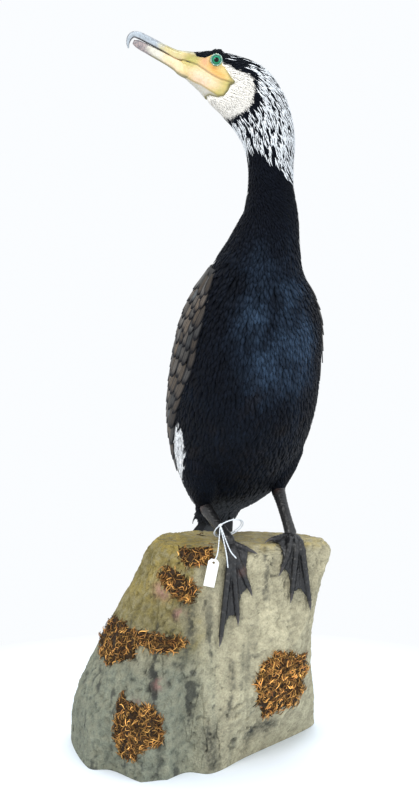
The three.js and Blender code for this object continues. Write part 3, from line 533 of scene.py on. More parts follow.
def skin_material():
    made, tree, shader = tinted("skin", Roughness=0.6)
    bump(tree, shader, noise_node(tree, 900, 3), 0.3, 0.0005)
    return made


# Feathers
def vane_template(rows, cols):
    """Faces of one closed feather: rows of points over it, cols across, and the inner ones again below."""
    ring = 2 * cols - 2
    over = list(range(cols))
    under = [0] + list(range(cols, ring)) + [cols - 1]
    quads, tris = [], []
    for r in range(rows - 1):
        a, b = r * ring, (r + 1) * ring
        for j in range(cols - 1):
            quads.append((a + over[j], a + over[j + 1], b + over[j + 1], b + over[j]))
            quads.append((a + under[j + 1], a + under[j], b + under[j], b + under[j + 1]))
    for first, flip in ((0, True), ((rows - 1) * ring, False)):
        for j in range(cols - 1):
            loop = [first + over[j], first + over[j + 1], first + under[j + 1], first + under[j]]
            loop = [p for i, p in enumerate(loop) if p not in loop[:i]]
            loop = loop[::-1] if flip else loop
            (quads if len(loop) == 4 else tris).append(tuple(loop))
    return np.array(quads), np.array(tris).reshape(-1, 3), ring


BODY_ROWS = [(0, 0.4), (0.35, 0.95), (0.75, 0.95), (1, 0.18)]
HAIR_ROWS = [(0, 0.7), (0.5, 1), (1, 0.15)]
ROOT_JITTER = 0.35


def scales(surface, u, v):
    """Millimetres for each unit of u and of v on a surface."""
    du, dv = 0.04, 0.02
    per_u = np.linalg.norm(surface(u + du, v, 0.0) - surface(u - du, v, 0.0), axis=-1) / (2 * du)
    per_v = np.linalg.norm(surface(u, v + dv, 0.0) - surface(u, v - dv, 0.0), axis=-1) / (2 * dv)
    return per_u, per_v


def lay(surface, place, length, width, heading, rows, cols, lift, crown, thick, roll=0.0):
    """Feathers laid on surface(u, v, out), running towards lower u: returns points, faces and UVs.

    place holds u and v of each root, lift its height at the root and the tip, crown how far its middle stands
    over its edges, and roll how far one edge is lower than the other."""
    u, v = [q.copy() for q in place]
    count = len(u)
    quads, tris, ring = vane_template(len(rows), cols)
    across = np.concatenate([np.linspace(-1, 1, cols), np.linspace(-1, 1, cols)[1:-1]])
    over = np.concatenate([np.ones(cols), -np.ones(cols - 2)])
    points = np.empty((count, len(rows) * ring, 3))
    uv = np.empty((count, len(rows) * ring, 2))
    c, s = np.cos(heading), np.sin(heading)
    before = 0
    for r, (run, wide) in enumerate(rows):
        steps = max(1, int(np.ceil((run - before) * np.max(length) / 9)))
        for _ in range(steps):
            per_u, per_v = scales(surface, u, v)
            onwards = (run - before) / steps * length
            u = u - onwards * c / per_u
            v = v + onwards * s / per_v
        before = run
        per_u, per_v = scales(surface, u, v)
        for j in range(ring):
            w = across[j] * wide * width / 2
            round_over = crown * (1 - across[j] ** 2) * (1 - 0.5 * run)
            raise_by = mix(lift[0], lift[1], run) + round_over - across[j] * roll
            raise_by = raise_by - (thick if over[j] < 0 else 0)
            points[:, r * ring + j] = surface(u + w * s / per_u, v + w * c / per_v, raise_by)
            uv[:, r * ring + j, 0] = 0.5 + across[j] / 2
            uv[:, r * ring + j, 1] = run
    first = (np.arange(count) * len(rows) * ring)[:, None, None]
    quads = (quads[None] + first).reshape(-1, 4)
    tris = (tris[None] + first).reshape(-1, 3)
    return points, quads, tris, uv


def patch_map(at, uv, size):
    """The OFBake map: each tuft is a small patch at its root's place on the unwrapped skin."""
    made = at[:, None, :] + (uv - 0.5) * size
    return np.clip(made, 0, 1).reshape(-1, 2)


def amount(value, t):
    """A value at places t, given as a number or as a function of t."""
    return value(t) if callable(value) else value + 0.0 * t


def rows_of_roots(first, last, exposure, spacing):
    """Places (t, angle) of feathers in rows from first back to last, staggered and a little uneven."""
    t_all, a_all = [], []
    t, row = first, 0
    turn = 2 * math.pi
    while t > last:
        moved = float(np.linalg.norm(on_flesh(t + 0.05, 1.2) - on_flesh(t - 0.05, 1.2)) / 0.1)
        step = amount(exposure, t) / moved
        side, dorsal, ventral = along(SPINE_SIZE, t)
        around = (side + (dorsal + ventral) / 2) / 2 * turn
        count = max(int(around / amount(spacing, t)), 1)
        a = -math.pi + turn * (np.arange(count) + 0.5 * (row % 2) + 0.25) / count
        a = a + rng.uniform(-ROOT_JITTER, ROOT_JITTER, count) * turn / count
        t_all.append(t + rng.uniform(-ROOT_JITTER, ROOT_JITTER, count) * step)
        a_all.append(a)
        t -= step
        row += 1
    return np.concatenate(t_all), np.concatenate(a_all)


def feathers(name, surface, place, at, length, width, heading, lift, colour, material, slot, nodes=(),
             rows=BODY_ROWS, cols=3, crown=0.35, thick=0.15, roll=0.0, size=0.003):
    """One coat piece: its feathers' places, their roots on the unwrapped skin, and a colour for each."""
    points, quads, tris, uv = lay(
        surface, place, length, width, heading, rows, cols, lift, crown, thick, roll)
    tints = np.repeat(colour, points.shape[1], 0)
    uvs = {"Vane": uv.reshape(-1, 2), "OFBake": patch_map(at, uv, size)}
    return make_mesh(name, points.reshape(-1, 3), quads, tris, material, slot, tints, uvs, nodes)


def shade(colour, spread):
    return colour * (1 + rng.uniform(-spread, spread, (len(colour), 1)))


def unwrap(t, angle):
    return np.stack([(angle / (2 * math.pi)) % 1.0, t / len(SPINE_AT)], -1)


def coat(name, span, exposure, spacing, length, width, lift, keep, material, slot, rows=BODY_ROWS,
         spread=0.35, colour=plumage, turn=0.08, crown=0.35, surface=on_flesh):
    """Feathers in rows over a stretch of the flesh, kept where keep says so."""
    t, a = rows_of_roots(*span, exposure, spacing)
    kept = keep(t, a, on_flesh(t, a))
    t, a = t[kept], a[kept]
    vary = rng.uniform(0.85, 1.15, len(t))
    heading = rng.normal(0, turn, len(t))
    tints = shade(colour(on_flesh(t, a)), spread)
    return feathers(name, surface, (t, a), unwrap(t, a), amount(length, t) * vary, amount(width, t), heading,
                    lift, tints, material, slot, rows=rows, crown=crown)


# Wings
WING_TIP, WING_SHOULDER = 1.2, 9.9
WING_UPPER = [9, 9, 9, 10, 12, 14, 16, 19, 24, 32, 46, 60]
WING_LOWER = [34, 42, 52, 66, 77, 87, 99, 109, 110, 107, 92, 80]


def wing_edges(t):
    return np.radians(along(WING_UPPER, t)), np.radians(along(WING_LOWER, t))


def core_raise(t, share):
    edge = np.sin(math.pi * mix(0.1, 1.0, np.clip(share, 0, 1)))
    k = np.clip((t - WING_TIP) / (WING_SHOULDER - WING_TIP), 0, 1)
    return mix(0.8, 5.5, edge * np.sqrt(np.sin(math.pi * mix(0.12, 0.88, k))))


def on_wing(side):
    def surface(t, share, out):
        upper, lower = wing_edges(t)
        return on_flesh(t, side * mix(upper, lower, share), core_raise(t, share) + out)
    return surface


def under_wing(t, angle):
    """Where a wing covers the flesh."""
    upper, lower = wing_edges(t)
    margin = math.radians(9)
    return (np.abs(angle) > upper + margin) & (np.abs(angle) < lower - margin) & (t > 2.5) & (t < 9.3)


COVERT_ROWS = [(0, 0.5), (0.3, 0.9), (0.52, 1), (0.72, 0.86), (0.88, 0.56), (0.96, 0.3), (1, 0.06)]
QUILL_ROWS = [(0, 0.5), (0.2, 0.8), (0.45, 0.97), (0.7, 1), (0.88, 0.85), (0.97, 0.5), (1, 0.2)]
COVERT_TIERS = 14
# Rows of long quills: how many, t and share at the back and at the belly edge, length, width and heading.
QUILL_TIERS = [
    (10, (5.9, 4.9), (0.08, 0.96), 66, 17, (0.06, -0.08)),
    (9, (5.0, 4.1), (0.1, 0.9), 84, 16, (0.03, -0.1)),
    (7, (3.7, 3.0), (0.18, 0.84), 86, 13, (0, -0.06)),
]
CORE_DEPTH = -1.2
CORE_THICK = 0.9
BRONZE = np.array((0.1, 0.078, 0.058))
BRONZE_GREY = np.array((0.075, 0.082, 0.086))
QUILL_DARK = np.array((0.014, 0.013, 0.014))


def wing_tier(count, t, share, length, wide, turn):
    """One row of wing feathers: t, share, length, width and heading of each."""
    k = (np.arange(count) + 0.5) / count
    vary = rng.uniform(0.94, 1.06, count)
    at_t = mix(t[0], t[1], k) + rng.uniform(-0.09, 0.09, count)
    at_share = mix(share[0], share[1], k) + rng.uniform(-0.3, 0.3, count) / count
    heading = mix(turn[0], turn[1], k) + rng.normal(0, 0.03, count)
    return at_t, at_share, length * vary, np.full(count, float(wide)), heading


def wing_feathers(name, side, tiers, lift, tone, spread, material, slot, nodes, rows, thick, roll, size):
    """One coat piece from rows of wing feathers, coloured by tone(row, share)."""
    t, share, length, width, heading = [np.concatenate(part) for part in zip(*tiers)]
    row = np.concatenate([np.full(len(tier[0]), i) for i, tier in enumerate(tiers)])
    at = np.stack([0.05 + 0.9 * share, (row + 0.5) / len(tiers)], -1)
    tones = shade(tone(row, share), spread)
    feathers(name, on_wing(side), [t, share], at, length, width, heading, lift, tones,
             material, slot, nodes, rows, 7, crown=0.9, thick=thick, roll=roll, size=size)


def covert_tone(row, share):
    grey = rng.uniform(0, 1, (len(row), 1)) ** 1.5
    return mix(mix(BRONZE, BRONZE_GREY, grey), QUILL_DARK, (smooth(share, 0.84, 1.05) * 0.8)[:, None])


def quill_tone(row, share):
    return mix(BRONZE * 0.4, QUILL_DARK * 0.7, np.clip(row / 1.2, 0, 1)[:, None])


def wing_core(side, name):
    """The dark body of the wing, just under its feathers."""
    t = np.linspace(WING_TIP, WING_SHOULDER, 60)[:, None]
    share = np.linspace(0, 1, 24)[None, :]
    surface = on_wing(side)
    over, under = surface(t, share, CORE_DEPTH), surface(t, share, CORE_DEPTH - CORE_THICK)
    points, quads, tris = closed_loft(np.concatenate([over, under[:, ::-1]], 1))
    tones = np.tile(QUILL_DARK * 0.5, (len(points), 1))
    make_mesh(f"wing_core_{name}", points, quads, tris, SKIN, "plumage_black", tones)


def wing(side, name):
    coverts = []
    for i in range(COVERT_TIERS):
        k = i / (COVERT_TIERS - 1)
        count = int(mix(9, 17, math.sin(math.pi * min(k * 1.1 + 0.15, 1) * 0.62)))
        place = (9.8 - 4.5 * k, 9.7 - 5.4 * k)
        coverts.append(wing_tier(count, place, (0.02, 1.0), mix(24, 38, k), mix(8.5, 11, k), (0.12, -0.02)))
    wing_feathers(f"coverts_{name}", side, coverts, (-1.2, 1.5), covert_tone, 0.45, COVERT, "covert_bronze",
                  [f"wing_{name}"], COVERT_ROWS, 0.4, 0.5, 0.06)
    quills = [wing_tier(*row) for row in QUILL_TIERS]
    wing_feathers(f"quills_{name}", side, quills, (-1.6, 1.2), quill_tone, 0.25, QUILL, "plumage_black",
                  (), QUILL_ROWS, 0.5, 0.6, 0.09)
    wing_core(side, name)


# Tail
TAIL_AT, TAIL_RUN, TAIL_BACK, TAIL_LEFT = spine_frame(np.float64(STATION["tail"]))
TAIL_DIP = math.radians(6)
TAIL_DIR = -TAIL_RUN * math.cos(TAIL_DIP) - TAIL_BACK * math.sin(TAIL_DIP)
TAIL_UP = unit(np.cross(TAIL_DIR, TAIL_LEFT))
TAIL_UP = TAIL_UP if TAIL_UP[2] > 0 else -TAIL_UP
TAIL_PAIRS = 7
TAIL_START = 14
OUTER_QUILL = 104
QUILL_WIDE = 17.0
# The fleshy root of the tail: place, half-width and half-height.
TAIL_STEM = [(0, 22, 9), (20, 23, 7.5), (44, 20, 4.5), (62, 10, 1.6)]


def on_tail(u, across, up):
    u, across, up = np.broadcast_arrays(u, across, up)
    return TAIL_AT - TAIL_DIR * u[..., None] + TAIL_LEFT * across[..., None] + TAIL_UP * up[..., None]


def tail_feather(i, place, length, heading, height, at):
    """Points, faces and UV maps of one of the tail's quills."""
    def surface(u, v, out):
        return on_tail(u, v, out + height)
    one = slice(i, i + 1)
    root, wide = (place[0][one], place[1][one]), np.array([QUILL_WIDE])
    points, quads, tris, uv = lay(
        surface, root, length[one], wide, heading[one], QUILL_ROWS, 9, (0, 0), 0.5, 0.45)
    return (points[0], quads, tris), uv[0], patch_map(at[one], uv, 0.06)


def tail():
    pair = np.repeat(np.arange(TAIL_PAIRS), 2)
    side = np.tile([1.0, -1.0], TAIL_PAIRS)
    k = (pair + 0.5) / TAIL_PAIRS
    length = mix(TAIL_LENGTH, OUTER_QUILL, k ** 1.6) - TAIL_START
    heading = side * math.radians(11.5) * k
    up = (TAIL_PAIRS / 2 - pair - 0.5 + 0.25 * side) * 1.25
    place = (np.full(len(pair), -float(TAIL_START)), side * 14 * k)
    at = np.stack([(np.arange(len(pair)) + 0.5) / len(pair), np.full(len(pair), 0.5)], -1)
    quills = [tail_feather(i, place, length, heading, up[i], at) for i in range(len(pair))]
    points, quads, tris = merge([quill[0] for quill in quills])
    uvs = {"Vane": np.concatenate([quill[1] for quill in quills]),
           "OFBake": np.concatenate([quill[2] for quill in quills])}
    tones = np.tile(QUILL_DARK, (len(points), 1))
    make_mesh("tail_quills", points, quads, tris, QUILL, "plumage_black", tones, uvs, ["tail"])
    u, wide, high = along(TAIL_STEM, np.linspace(0, 3, 24)).T
    a = turns(40)
    rings = on_tail(-u[:, None] + 8, wide[:, None] * np.cos(a) * 0.95, high[:, None] * np.sin(a) * 0.9)
    points, quads, tris = closed_loft(rings)
    make_mesh("tail_root", points, quads, tris, SKIN, "plumage_black", np.tile(BLACK, (len(points), 1)))


SKIN = skin_material()


# Legs
HEEL = {"right": from_bird(-40, -46, 288), "left": from_bird(48, -40, 303)}
JOINT = {"right": (-31.4, 3), "left": (47.7, -13)}
THIGH_TOP = {"right": from_bird(-44, -34, 352), "left": from_bird(46, -32, 366)}
THIGH_RADII = [30, 27, 20, 12.5, 8.5]
THIGH_PLACES = [0, 0.35, 0.65, 0.88, 1]


def on_thigh(name):
    """The thigh's surface: u runs from 0 at the heel to 1 at the top, v is an angle round it."""
    top, heel = THIGH_TOP[name], HEEL[name]
    run = unit(heel - top)
    high = unit(BACKWARD - run * (BACKWARD @ run))
    wide = np.cross(high, run)

    def surface(u, v, out):
        u, v, out = np.broadcast_arrays(*[np.asarray(q, float) for q in (u, v, out)])
        k = 1 - u
        radius = np.interp(k, THIGH_PLACES, THIGH_RADII) + out
        at = top + (heel - top) * k[..., None]
        return at + wide * (radius * np.cos(v))[..., None] + high * (radius * np.sin(v))[..., None]
    return surface


def thigh_body(name, out):
    surface = on_thigh(name)
    u = np.linspace(1.0, 0.0, 16)[:, None]
    v = turns(32)[None, :]
    return closed_loft(surface(u, v, out))


def deep_in_torso(p, margin):
    """Where a point lies inside the torso by more than margin, so that nothing there is seen."""
    t = np.linspace(STATION["tail"], STATION["neck"], 60)
    at, _, back, left = spine_frame(t)
    side, dorsal, ventral = along(SPINE_SIZE, t).T
    away = p[:, None] - at[None]
    nearest = np.linalg.norm(away, axis=-1).argmin(1)
    pick = np.arange(len(p))
    b = (away[pick, nearest] * back[nearest]).sum(-1)
    s = (away[pick, nearest] * left[nearest]).sum(-1)
    depth = np.where(b > 0, dorsal[nearest], ventral[nearest]) - margin
    return np.hypot(b / depth, s / (side[nearest] - margin)) < 1


def thigh_coat(name):
    surface = on_thigh(name)
    u_all, v_all = [], []
    row, u = 0, 0.98
    while u > 0.015:
        radius = np.interp(1 - u, THIGH_PLACES, THIGH_RADII)
        count = int(2 * math.pi * radius / 2.2)
        u_all.append(u + rng.uniform(-0.02, 0.02, count))
        turn = np.arange(count) + 0.5 * (row % 2) + rng.uniform(-0.3, 0.3, count)
        v_all.append(2 * math.pi * turn / count)
        u -= 0.035
        row += 1
    u, v = np.concatenate(u_all), np.concatenate(v_all)
    roots = surface(u, v, 0)
    kept = ~deep_in_torso(roots, 4)
    u, v, roots = u[kept], v[kept], roots[kept]
    count = len(u)
    at = np.stack([(v / (2 * math.pi)) % 1, u], -1)
    length = mix(10.0, 15.0, np.clip(u, 0, 1))
    heading = rng.normal(0, 0.1, count)
    feathers(f"coat_thigh_{name}", surface, (u, v), at, length, np.full(count, 4.0), heading, (-2.2, 0.6),
             shade(plumage(roots), 0.35), PLUMAGE, "plumage_black")


# Feet
TOES = {
    "right": (1, [(31, 13), (24, 59), (7, 90), (-15, 112)]),
    "left": (-1, [(36, 16), (24, 55), (10.7, 86), (-13, 96)]),
}
CLAW_LENGTH = 11
CLAW_SIDES = 14
CLAW_DARK = np.array((0.035, 0.03, 0.03))
CLAW_PALE = np.array((0.11, 0.1, 0.1))
# The shank from inside the thigh down to the foot, as a share of the way from heel to foot.
SHANK_TOP = -0.28
SHANK_RADII = [8, 7.6, 7.2, 6.3, 6, 6, 6.4]
SHANK_ROWS, SHANK_SIDES = 26, 20
PALM_RADIUS = 7
SOLE_OUT = 0.8
WEB_HALF = 0.75
LEG_BLACK = np.array((0.0095, 0.0095, 0.0105))
WORN_PINK = np.array((0.16, 0.085, 0.07))


def toe_reach(name, toe):
    inwards, onwards = TOES[name][1][toe]
    share = 1 - CLAW_LENGTH / math.hypot(inwards, onwards)
    return inwards * share, onwards * share


def toe_point(name, toe, share, out):
    across, place = JOINT[name]
    inwards, onwards = toe_reach(name, toe)
    return on_edge(across + TOES[name][0] * inwards * share, place + onwards * share, out)


def toe_body(name, toe):
    share = np.linspace(0, 1, 40)
    knuckles = 1 + 0.14 * np.cos(share * math.pi * (3 + toe) * 2) ** 4
    radius = mix(4.0, 2.7, share) * knuckles
    return tube(toe_point(name, toe, share, radius * 0.85 + SOLE_OUT), radius, 14, 0.9, edge_normal(name))


def edge_normal(name):
    across, place = JOINT[name]
    return unit(on_edge(across, place + 30, 1) - on_edge(across, place + 30, 0) + np.array((0, 0, 0.6)))


def web_body(name, toe):
    across, place = JOINT[name]
    i1, o1 = toe_reach(name, toe)
    i2, o2 = toe_reach(name, toe + 1)
    b = np.linspace(0, 1, 22)[None, :]
    stop = np.linspace(0.05, 1, 60)[:, None]
    ragged = 0.02 * np.sin(b * 21 + toe * 2) + 0.012 * np.sin(b * 47)
    k = stop * (1 - (0.15 + ragged) * np.sin(math.pi * b) ** 0.8)
    k = k * 0.985
    inwards, onwards = mix(i1, i2, b) * k, mix(o1, o2, b) * k
    folds = 0.55 * np.sin(b * math.pi * 5 + k * 3) * np.sin(math.pi * b)
    middle = 2.0 + folds
    grids = [on_edge(across + TOES[name][0] * inwards, place + onwards, middle + half)
             for half in (WEB_HALF, -WEB_HALF)]
    return closed_loft(np.concatenate([grids[0], grids[1][:, ::-1]], 1))


def leg_colour(name):
    heel = HEEL[name]

    def colour(p):
        mottle = 1 + 0.5 * wobble(p, 7, 5, 3)
        made = LEG_BLACK * mottle[:, None]
        worn = np.exp(-(np.linalg.norm(p - heel - np.array((0, -6, -2)), axis=-1) / 4) ** 2)
        spot = toe_point(name, 1, 0.62, 3)
        worn = worn + 0.8 * np.exp(-(np.linalg.norm(p - spot, axis=-1) / 4.5) ** 2) * (name == "right")
        return mix(made, WORN_PINK, np.clip(worn * (0.8 + 0.6 * wobble(p, 3, 6, 2)), 0, 1)[:, None])
    return colour


def leg_shape(p):
    return 0.18 * wobble(p, 3.2, 4, 2) + 0.14 * np.sin(p[:, 2] * 2.3) * smooth(p[:, 2], 262, 268)


def leg(name):
    across, place = JOINT[name]
    foot = on_edge(across, place, 8)
    heel = HEEL[name]
    k = np.linspace(SHANK_TOP, 1, SHANK_ROWS)
    radius = along(SHANK_RADII, np.linspace(0, len(SHANK_RADII) - 1, SHANK_ROWS))
    shank = tube(heel + (foot - heel) * k[:, None], radius, SHANK_SIDES, 1.15, BACKWARD)
    a = turns(SHANK_SIDES)
    b = np.linspace(0.05, math.pi - 0.05, 12)[:, None]
    palm_at = on_edge(across, place, PALM_RADIUS + SOLE_OUT)
    palm = closed_loft(palm_at + PALM_RADIUS * vec(np.sin(b) * np.cos(a), np.sin(b) * np.sin(a), np.cos(b)))
    toes = [toe_body(name, toe) for toe in range(4)]
    webs = [web_body(name, toe) for toe in range(3)]
    fuse(f"leg_{name}", [shank, palm] + toes + webs, 0.8, 4, leg_material(), "leg_black",
         [f"shank_{name}", f"foot_{name}"], leg_colour(name), leg_shape)


def leg_material():
    made, tree, shader = tinted("leg_black", Roughness=0.34, Specular_IOR_Level=0.5)
    height = math_node(tree, "ADD", cell_node(tree, 620.0), noise_node(tree, 160, 4))
    bump(tree, shader, height, 0.55, 0.0007)
    return made


def claw(name, toe):
    inwards, onwards = TOES[name][1][toe]
    full = math.hypot(inwards, onwards)
    d = np.linspace(-1.5, CLAW_LENGTH, 18)
    share = 1 + d / (full - CLAW_LENGTH)
    k = (d + 1.5) / (CLAW_LENGTH + 1.5)
    out = 2.9 + 1.1 * np.sin(k * math.pi * 0.8) - 2.2 * k ** 2
    radius = mix(2.2, 0.3, k ** 1.4)
    body = tube(toe_point(name, toe, share, out), radius, CLAW_SIDES, 1.15, edge_normal(name))
    tone = mix(CLAW_DARK, CLAW_PALE, smooth(k, 0.5, 1)[:, None])
    make_mesh(f"claw_{name}_{toe + 1}_horn", *body, HORN, "claw_horn", capped(np.repeat(tone, CLAW_SIDES, 0)),
              nodes=[f"claw_{name}_{toe + 1}"])


def horn_material(name, roughness, scale):
    made, tree, shader = material(name, Roughness=roughness, Coat_Weight=0.15, Coat_Roughness=0.3)
    speckled(tree, shader, noise_node(tree, scale, 5), 0.5, 0.75)
    bump(tree, shader, noise_node(tree, scale * 1.6, 4), 0.25, 0.0005)
    return made


HORN = horn_material("claw_horn", 0.35, 300)
BILL = horn_material("bill_horn", 0.38, 260)


# Bill and bare face
BILL_FROM = (-28, -46)
BILL_TURN = 0.17
MAXILLA = [
    (-10, 775.5, 5.2, 8.4, 0.05), (-20, 777.6, 5.4, 9.6, 0.1), (-31, 778.9, 5.1, 8, 0.2),
    (-38.9, 781.6, 4.6, 6.6, 0.35), (-51, 787.7, 4, 5.4, 0.45),
    (-63.8, 794.2, 4.1, 4.7, 0.42), (-74, 799, 3.9, 4.4, 0.2), (-80.4, 799.6, 3.4, 3.8, -0.5),
    (-84.2, 795.8, 2.7, 2.9, -1.15), (-85.6, 790.6, 1.7, 1.9, -1.5), (-85.2, 785.6, 0.6, 0.8, -1.7),
]
MANDIBLE = [
    (-13, 759.5, 9.6, 9.4, 0.05), (-22, 762.6, 9, 9.6, 0.1), (-30, 765.4, 7.8, 8.4, 0.25),
    (-38, 770.4, 5.9, 7, 0.42), (-52, 778, 5.2, 5.6, 0.48),
    (-66, 785.2, 4.7, 4.7, 0.45), (-75, 789.9, 4.1, 4, 0.42), (-80, 792.2, 2.2, 2.6, 0.4),
]
NASAL_LINE = [(-30, 781), (-36, 782.6), (-44, 786.4), (-53, 790.6), (-62, 795.3)]
MOUTH_LINE = [
    (-42, 779.5), (-35, 776), (-24.8, 773), (-13, 768.6),
    (-3.6, 762.2), (4, 757), (12, 753.2), (23, 749.9),
]


def spot(p, x, z, wide, high=None, turn=0.0):
    """A soft spot of 0 to 1 round a place seen from the side."""
    dx, dz = p[..., 0] - x, p[..., 2] - z
    c, s = math.cos(turn), math.sin(turn)
    return np.exp(-((dx * c + dz * s) / wide) ** 2 - ((dz * c - dx * s) / (high or wide)) ** 2)


YELLOW = np.array((0.68, 0.52, 0.2))
CREAM = np.array((0.84, 0.66, 0.46))
ORANGE = np.array((0.74, 0.34, 0.08))
OLIVE = np.array((0.17, 0.15, 0.05))
OLIVE_YELLOW = np.array((0.4, 0.37, 0.1))
PINK_SKIN = np.array((0.62, 0.3, 0.16))
CREAM_PINK = np.array((0.8, 0.56, 0.42))
TIP_WHITE = np.array((0.36, 0.41, 0.46))
TIP_GREY = np.array((0.12, 0.12, 0.14))
TIP_PINK = np.array((0.42, 0.34, 0.33))
BILL_PALE = np.array((0.62, 0.6, 0.52))
MOUTH_DARK = np.array((0.03, 0.022, 0.02))
GULAR_GREY = np.array((0.52, 0.5, 0.44))
# The yellow ends below along this line, where the grey skin of the throat begins.
GULAR_X = [-34.5, -16, -9, 9]
GULAR_Z = [761.5, 750.5, 747.5, 736]


def toned(colour, other, k):
    return mix(colour, other, np.clip(k, 0, 1)[..., None])


def face_colour(p):
    x, z = p[..., 0], p[..., 2]
    mottle = wobble(p, 6, 8, 3)
    grain = wobble(p, 2.2, 13, 2)
    made = toned(np.broadcast_to(YELLOW, p.shape), CREAM, 1.1 * spot(p, -6, 755, 19, 8, -0.5) + 0.3 * mottle)
    made = toned(made, CREAM_PINK, 0.9 * spot(p, -9, 751, 12, 6, -0.5) + 0.3 * grain)
    made = toned(made, OLIVE, 0.7 * spot(p, -16, 776, 10, 4))
    olive = 0.9 * spot(p, -19, 773, 11, 6) + 0.75 * spot(p, 20, 748, 8, 8)
    made = toned(made, OLIVE_YELLOW, olive + 0.3 * mottle)
    made = toned(made, OLIVE_YELLOW, 0.6 * spot(p, 10, 739, 10, 5, 0.2) + 0.35 * np.clip(grain, 0, 1))
    made = toned(made, ORANGE, 0.95 * spot(p, 4, 763, 10, 4.5, -0.7) + 0.5 * spot(p, 14, 757, 6, 3, -0.5))
    made = toned(made, GULAR_GREY, smooth(np.interp(x, GULAR_X, GULAR_Z) - z, -0.4, 1.0))
    made = toned(made, PINK_SKIN, 0.9 * spot(p, -5, 772, 5, 6.5))
    rim = np.exp(-(bare_face(p) / 2.2) ** 2)
    made = toned(made, OLIVE, 0.75 * rim * smooth(754 - z, 0, 8) + 0.55 * rim * smooth(x, 14, 22) + 0.3 * rim)
    made = toned(made, OLIVE, 0.5 * spot(p, EYE_XZ[0], EYE_XZ[1], 9) * (x > 3))
    gular_edge = np.exp(-((z - np.interp(x, GULAR_X, GULAR_Z) - 0.6) / 1.1) ** 2)
    made = toned(made, OLIVE, 0.6 * gular_edge * smooth(x, -34, -26))
    return toned(made, MOUTH_DARK, 0.5 * np.exp(-(from_line(x, z, MOUTH_LINE) / 0.75) ** 2))


def bill_colour(upper, rise):
    """The bill's colour; rise runs from -1 below to 1 above on the section."""
    def colour(p):
        x = p[..., 0]
        mottle = wobble(p * np.array((0.6, 1, 1)), 5, 9, 4)
        fine = wobble(p, 1.8, 10, 2)
        if upper:
            tip = smooth(-x + 5 * mottle, 43, 58)
            made = toned(np.broadcast_to(OLIVE_YELLOW, p.shape), CREAM, 0.45 + 0.4 * mottle)
            made = toned(made, face_colour(p), smooth(x, -34, -22))
            made = toned(made, OLIVE, 0.85 * smooth(rise, 0.3, 0.85) + 0.35 * mottle)
            made = toned(made, TIP_WHITE, tip)
            made = toned(made, TIP_GREY, tip * (0.9 * smooth(rise, 0.45, 0.95) + 0.5 * fine + 0.25 * mottle))
            return toned(made, MOUTH_DARK, 0.8 * smooth(-rise, 0.1, 0.35) * smooth(-x, 34, 48))
        tip = smooth(-x + 3 * mottle, 60, 68)
        made = toned(np.broadcast_to(YELLOW, p.shape), CREAM, 0.75 + 0.3 * mottle)
        made = toned(made, face_colour(p), smooth(x, -34, -22))
        made = toned(made, BILL_PALE, smooth(-x, 42, 56))
        made = toned(made, OLIVE, 0.85 * smooth(-rise, 0.5, 0.9) + 0.2 * np.clip(fine, 0, 1))
        return toned(made, mix(TIP_PINK, TIP_GREY, np.clip(0.5 + 0.8 * fine, 0, 1)[..., None]), tip)
    return colour


def bill_piece(name, stations, free, nodes):
    rows, cols = 120, 56
    at = along(stations, np.linspace(0, len(stations) - 1, rows))
    a = turns(cols)[None, :]
    x, z, high, wide, lean = at.T[:, :, None]
    rise = np.sin(a) * free
    up = free * high * np.where(rise > 0, rise, -np.abs(rise) ** 0.3)
    across = wide * np.cos(a)
    px, pz = x + up * np.sin(lean), z + up * np.cos(lean)
    points = vec(px, BILL_FROM[1] + (px - BILL_FROM[0]) * BILL_TURN - across, pz)
    outward = unit(vec(np.sin(lean) * rise * free, -np.cos(a), np.cos(lean) * rise * free))
    worn = 0.18 * wobble(points * np.array((0.45, 1, 1)), 4, 11, 3)
    if free > 0:
        slit = np.exp(-(from_line(px, pz, NASAL_LINE) / 0.55) ** 2)
        plates = 0.22 * np.exp(-((px + 45 + 0.5 * (pz - 785)) / 0.8) ** 2)
        worn = worn - 0.75 * slit - plates
    points = points + outward * worn[..., None]
    body = closed_loft(points)
    tones = capped(bill_colour(free > 0, rise * free * np.ones_like(px))(points))
    make_mesh(name, *body, BILL, "bill_horn", tones, nodes=nodes)


def face_out(t, a):
    p = on_flesh(t, a)
    x, z = p[..., 0], p[..., 2]
    shown = smooth(bare_face(p), -1.4, 0.6)
    from_eye = np.hypot(x - EYE_XZ[0], z - EYE_XZ[1])
    mouth = from_line(x, z, MOUTH_LINE)
    made = mix(-3.2, 0.25, shown)
    made = made - 0.95 * np.exp(-(mouth / 0.65) ** 2) + 0.55 * np.exp(-((mouth - 2.2) / 1.3) ** 2)
    made = made + 0.22 * wobble(p, 2.6, 12, 3) + 0.5 * spot(p, 5, 761, 8, 4, -0.6)
    made = made + 0.8 * spot(p, 25, 750.5, 3.5) - 0.9 * smooth(-x, 13, 25)
    return made + 0.5 * np.exp(-((from_eye - 7) / 1.3) ** 2) + socket_move(p)


def bare_skin():
    rings = flesh_rings(18.2, 23.2, 190, 220, face_out)
    body = closed_loft(rings)
    made, tree, shader = tinted("bare_face", Roughness=0.5, Specular_IOR_Level=0.4, Subsurface_Weight=0.06)
    shader.inputs["Subsurface Radius"].default_value = (0.003, 0.0015, 0.0008)
    warts = math_node(tree, "ADD", cell_node(tree, 800.0), noise_node(tree, 300, 4))
    bump(tree, shader, warts, 0.4, 0.0006)
    make_mesh("bare_face", *body, made, "bare_skin", capped(face_colour(rings)))


def square_to(pole):
    """Two directions square to pole."""
    aside = unit(np.cross(pole, (0.3, 0.2, 1)))
    return aside, np.cross(aside, pole)


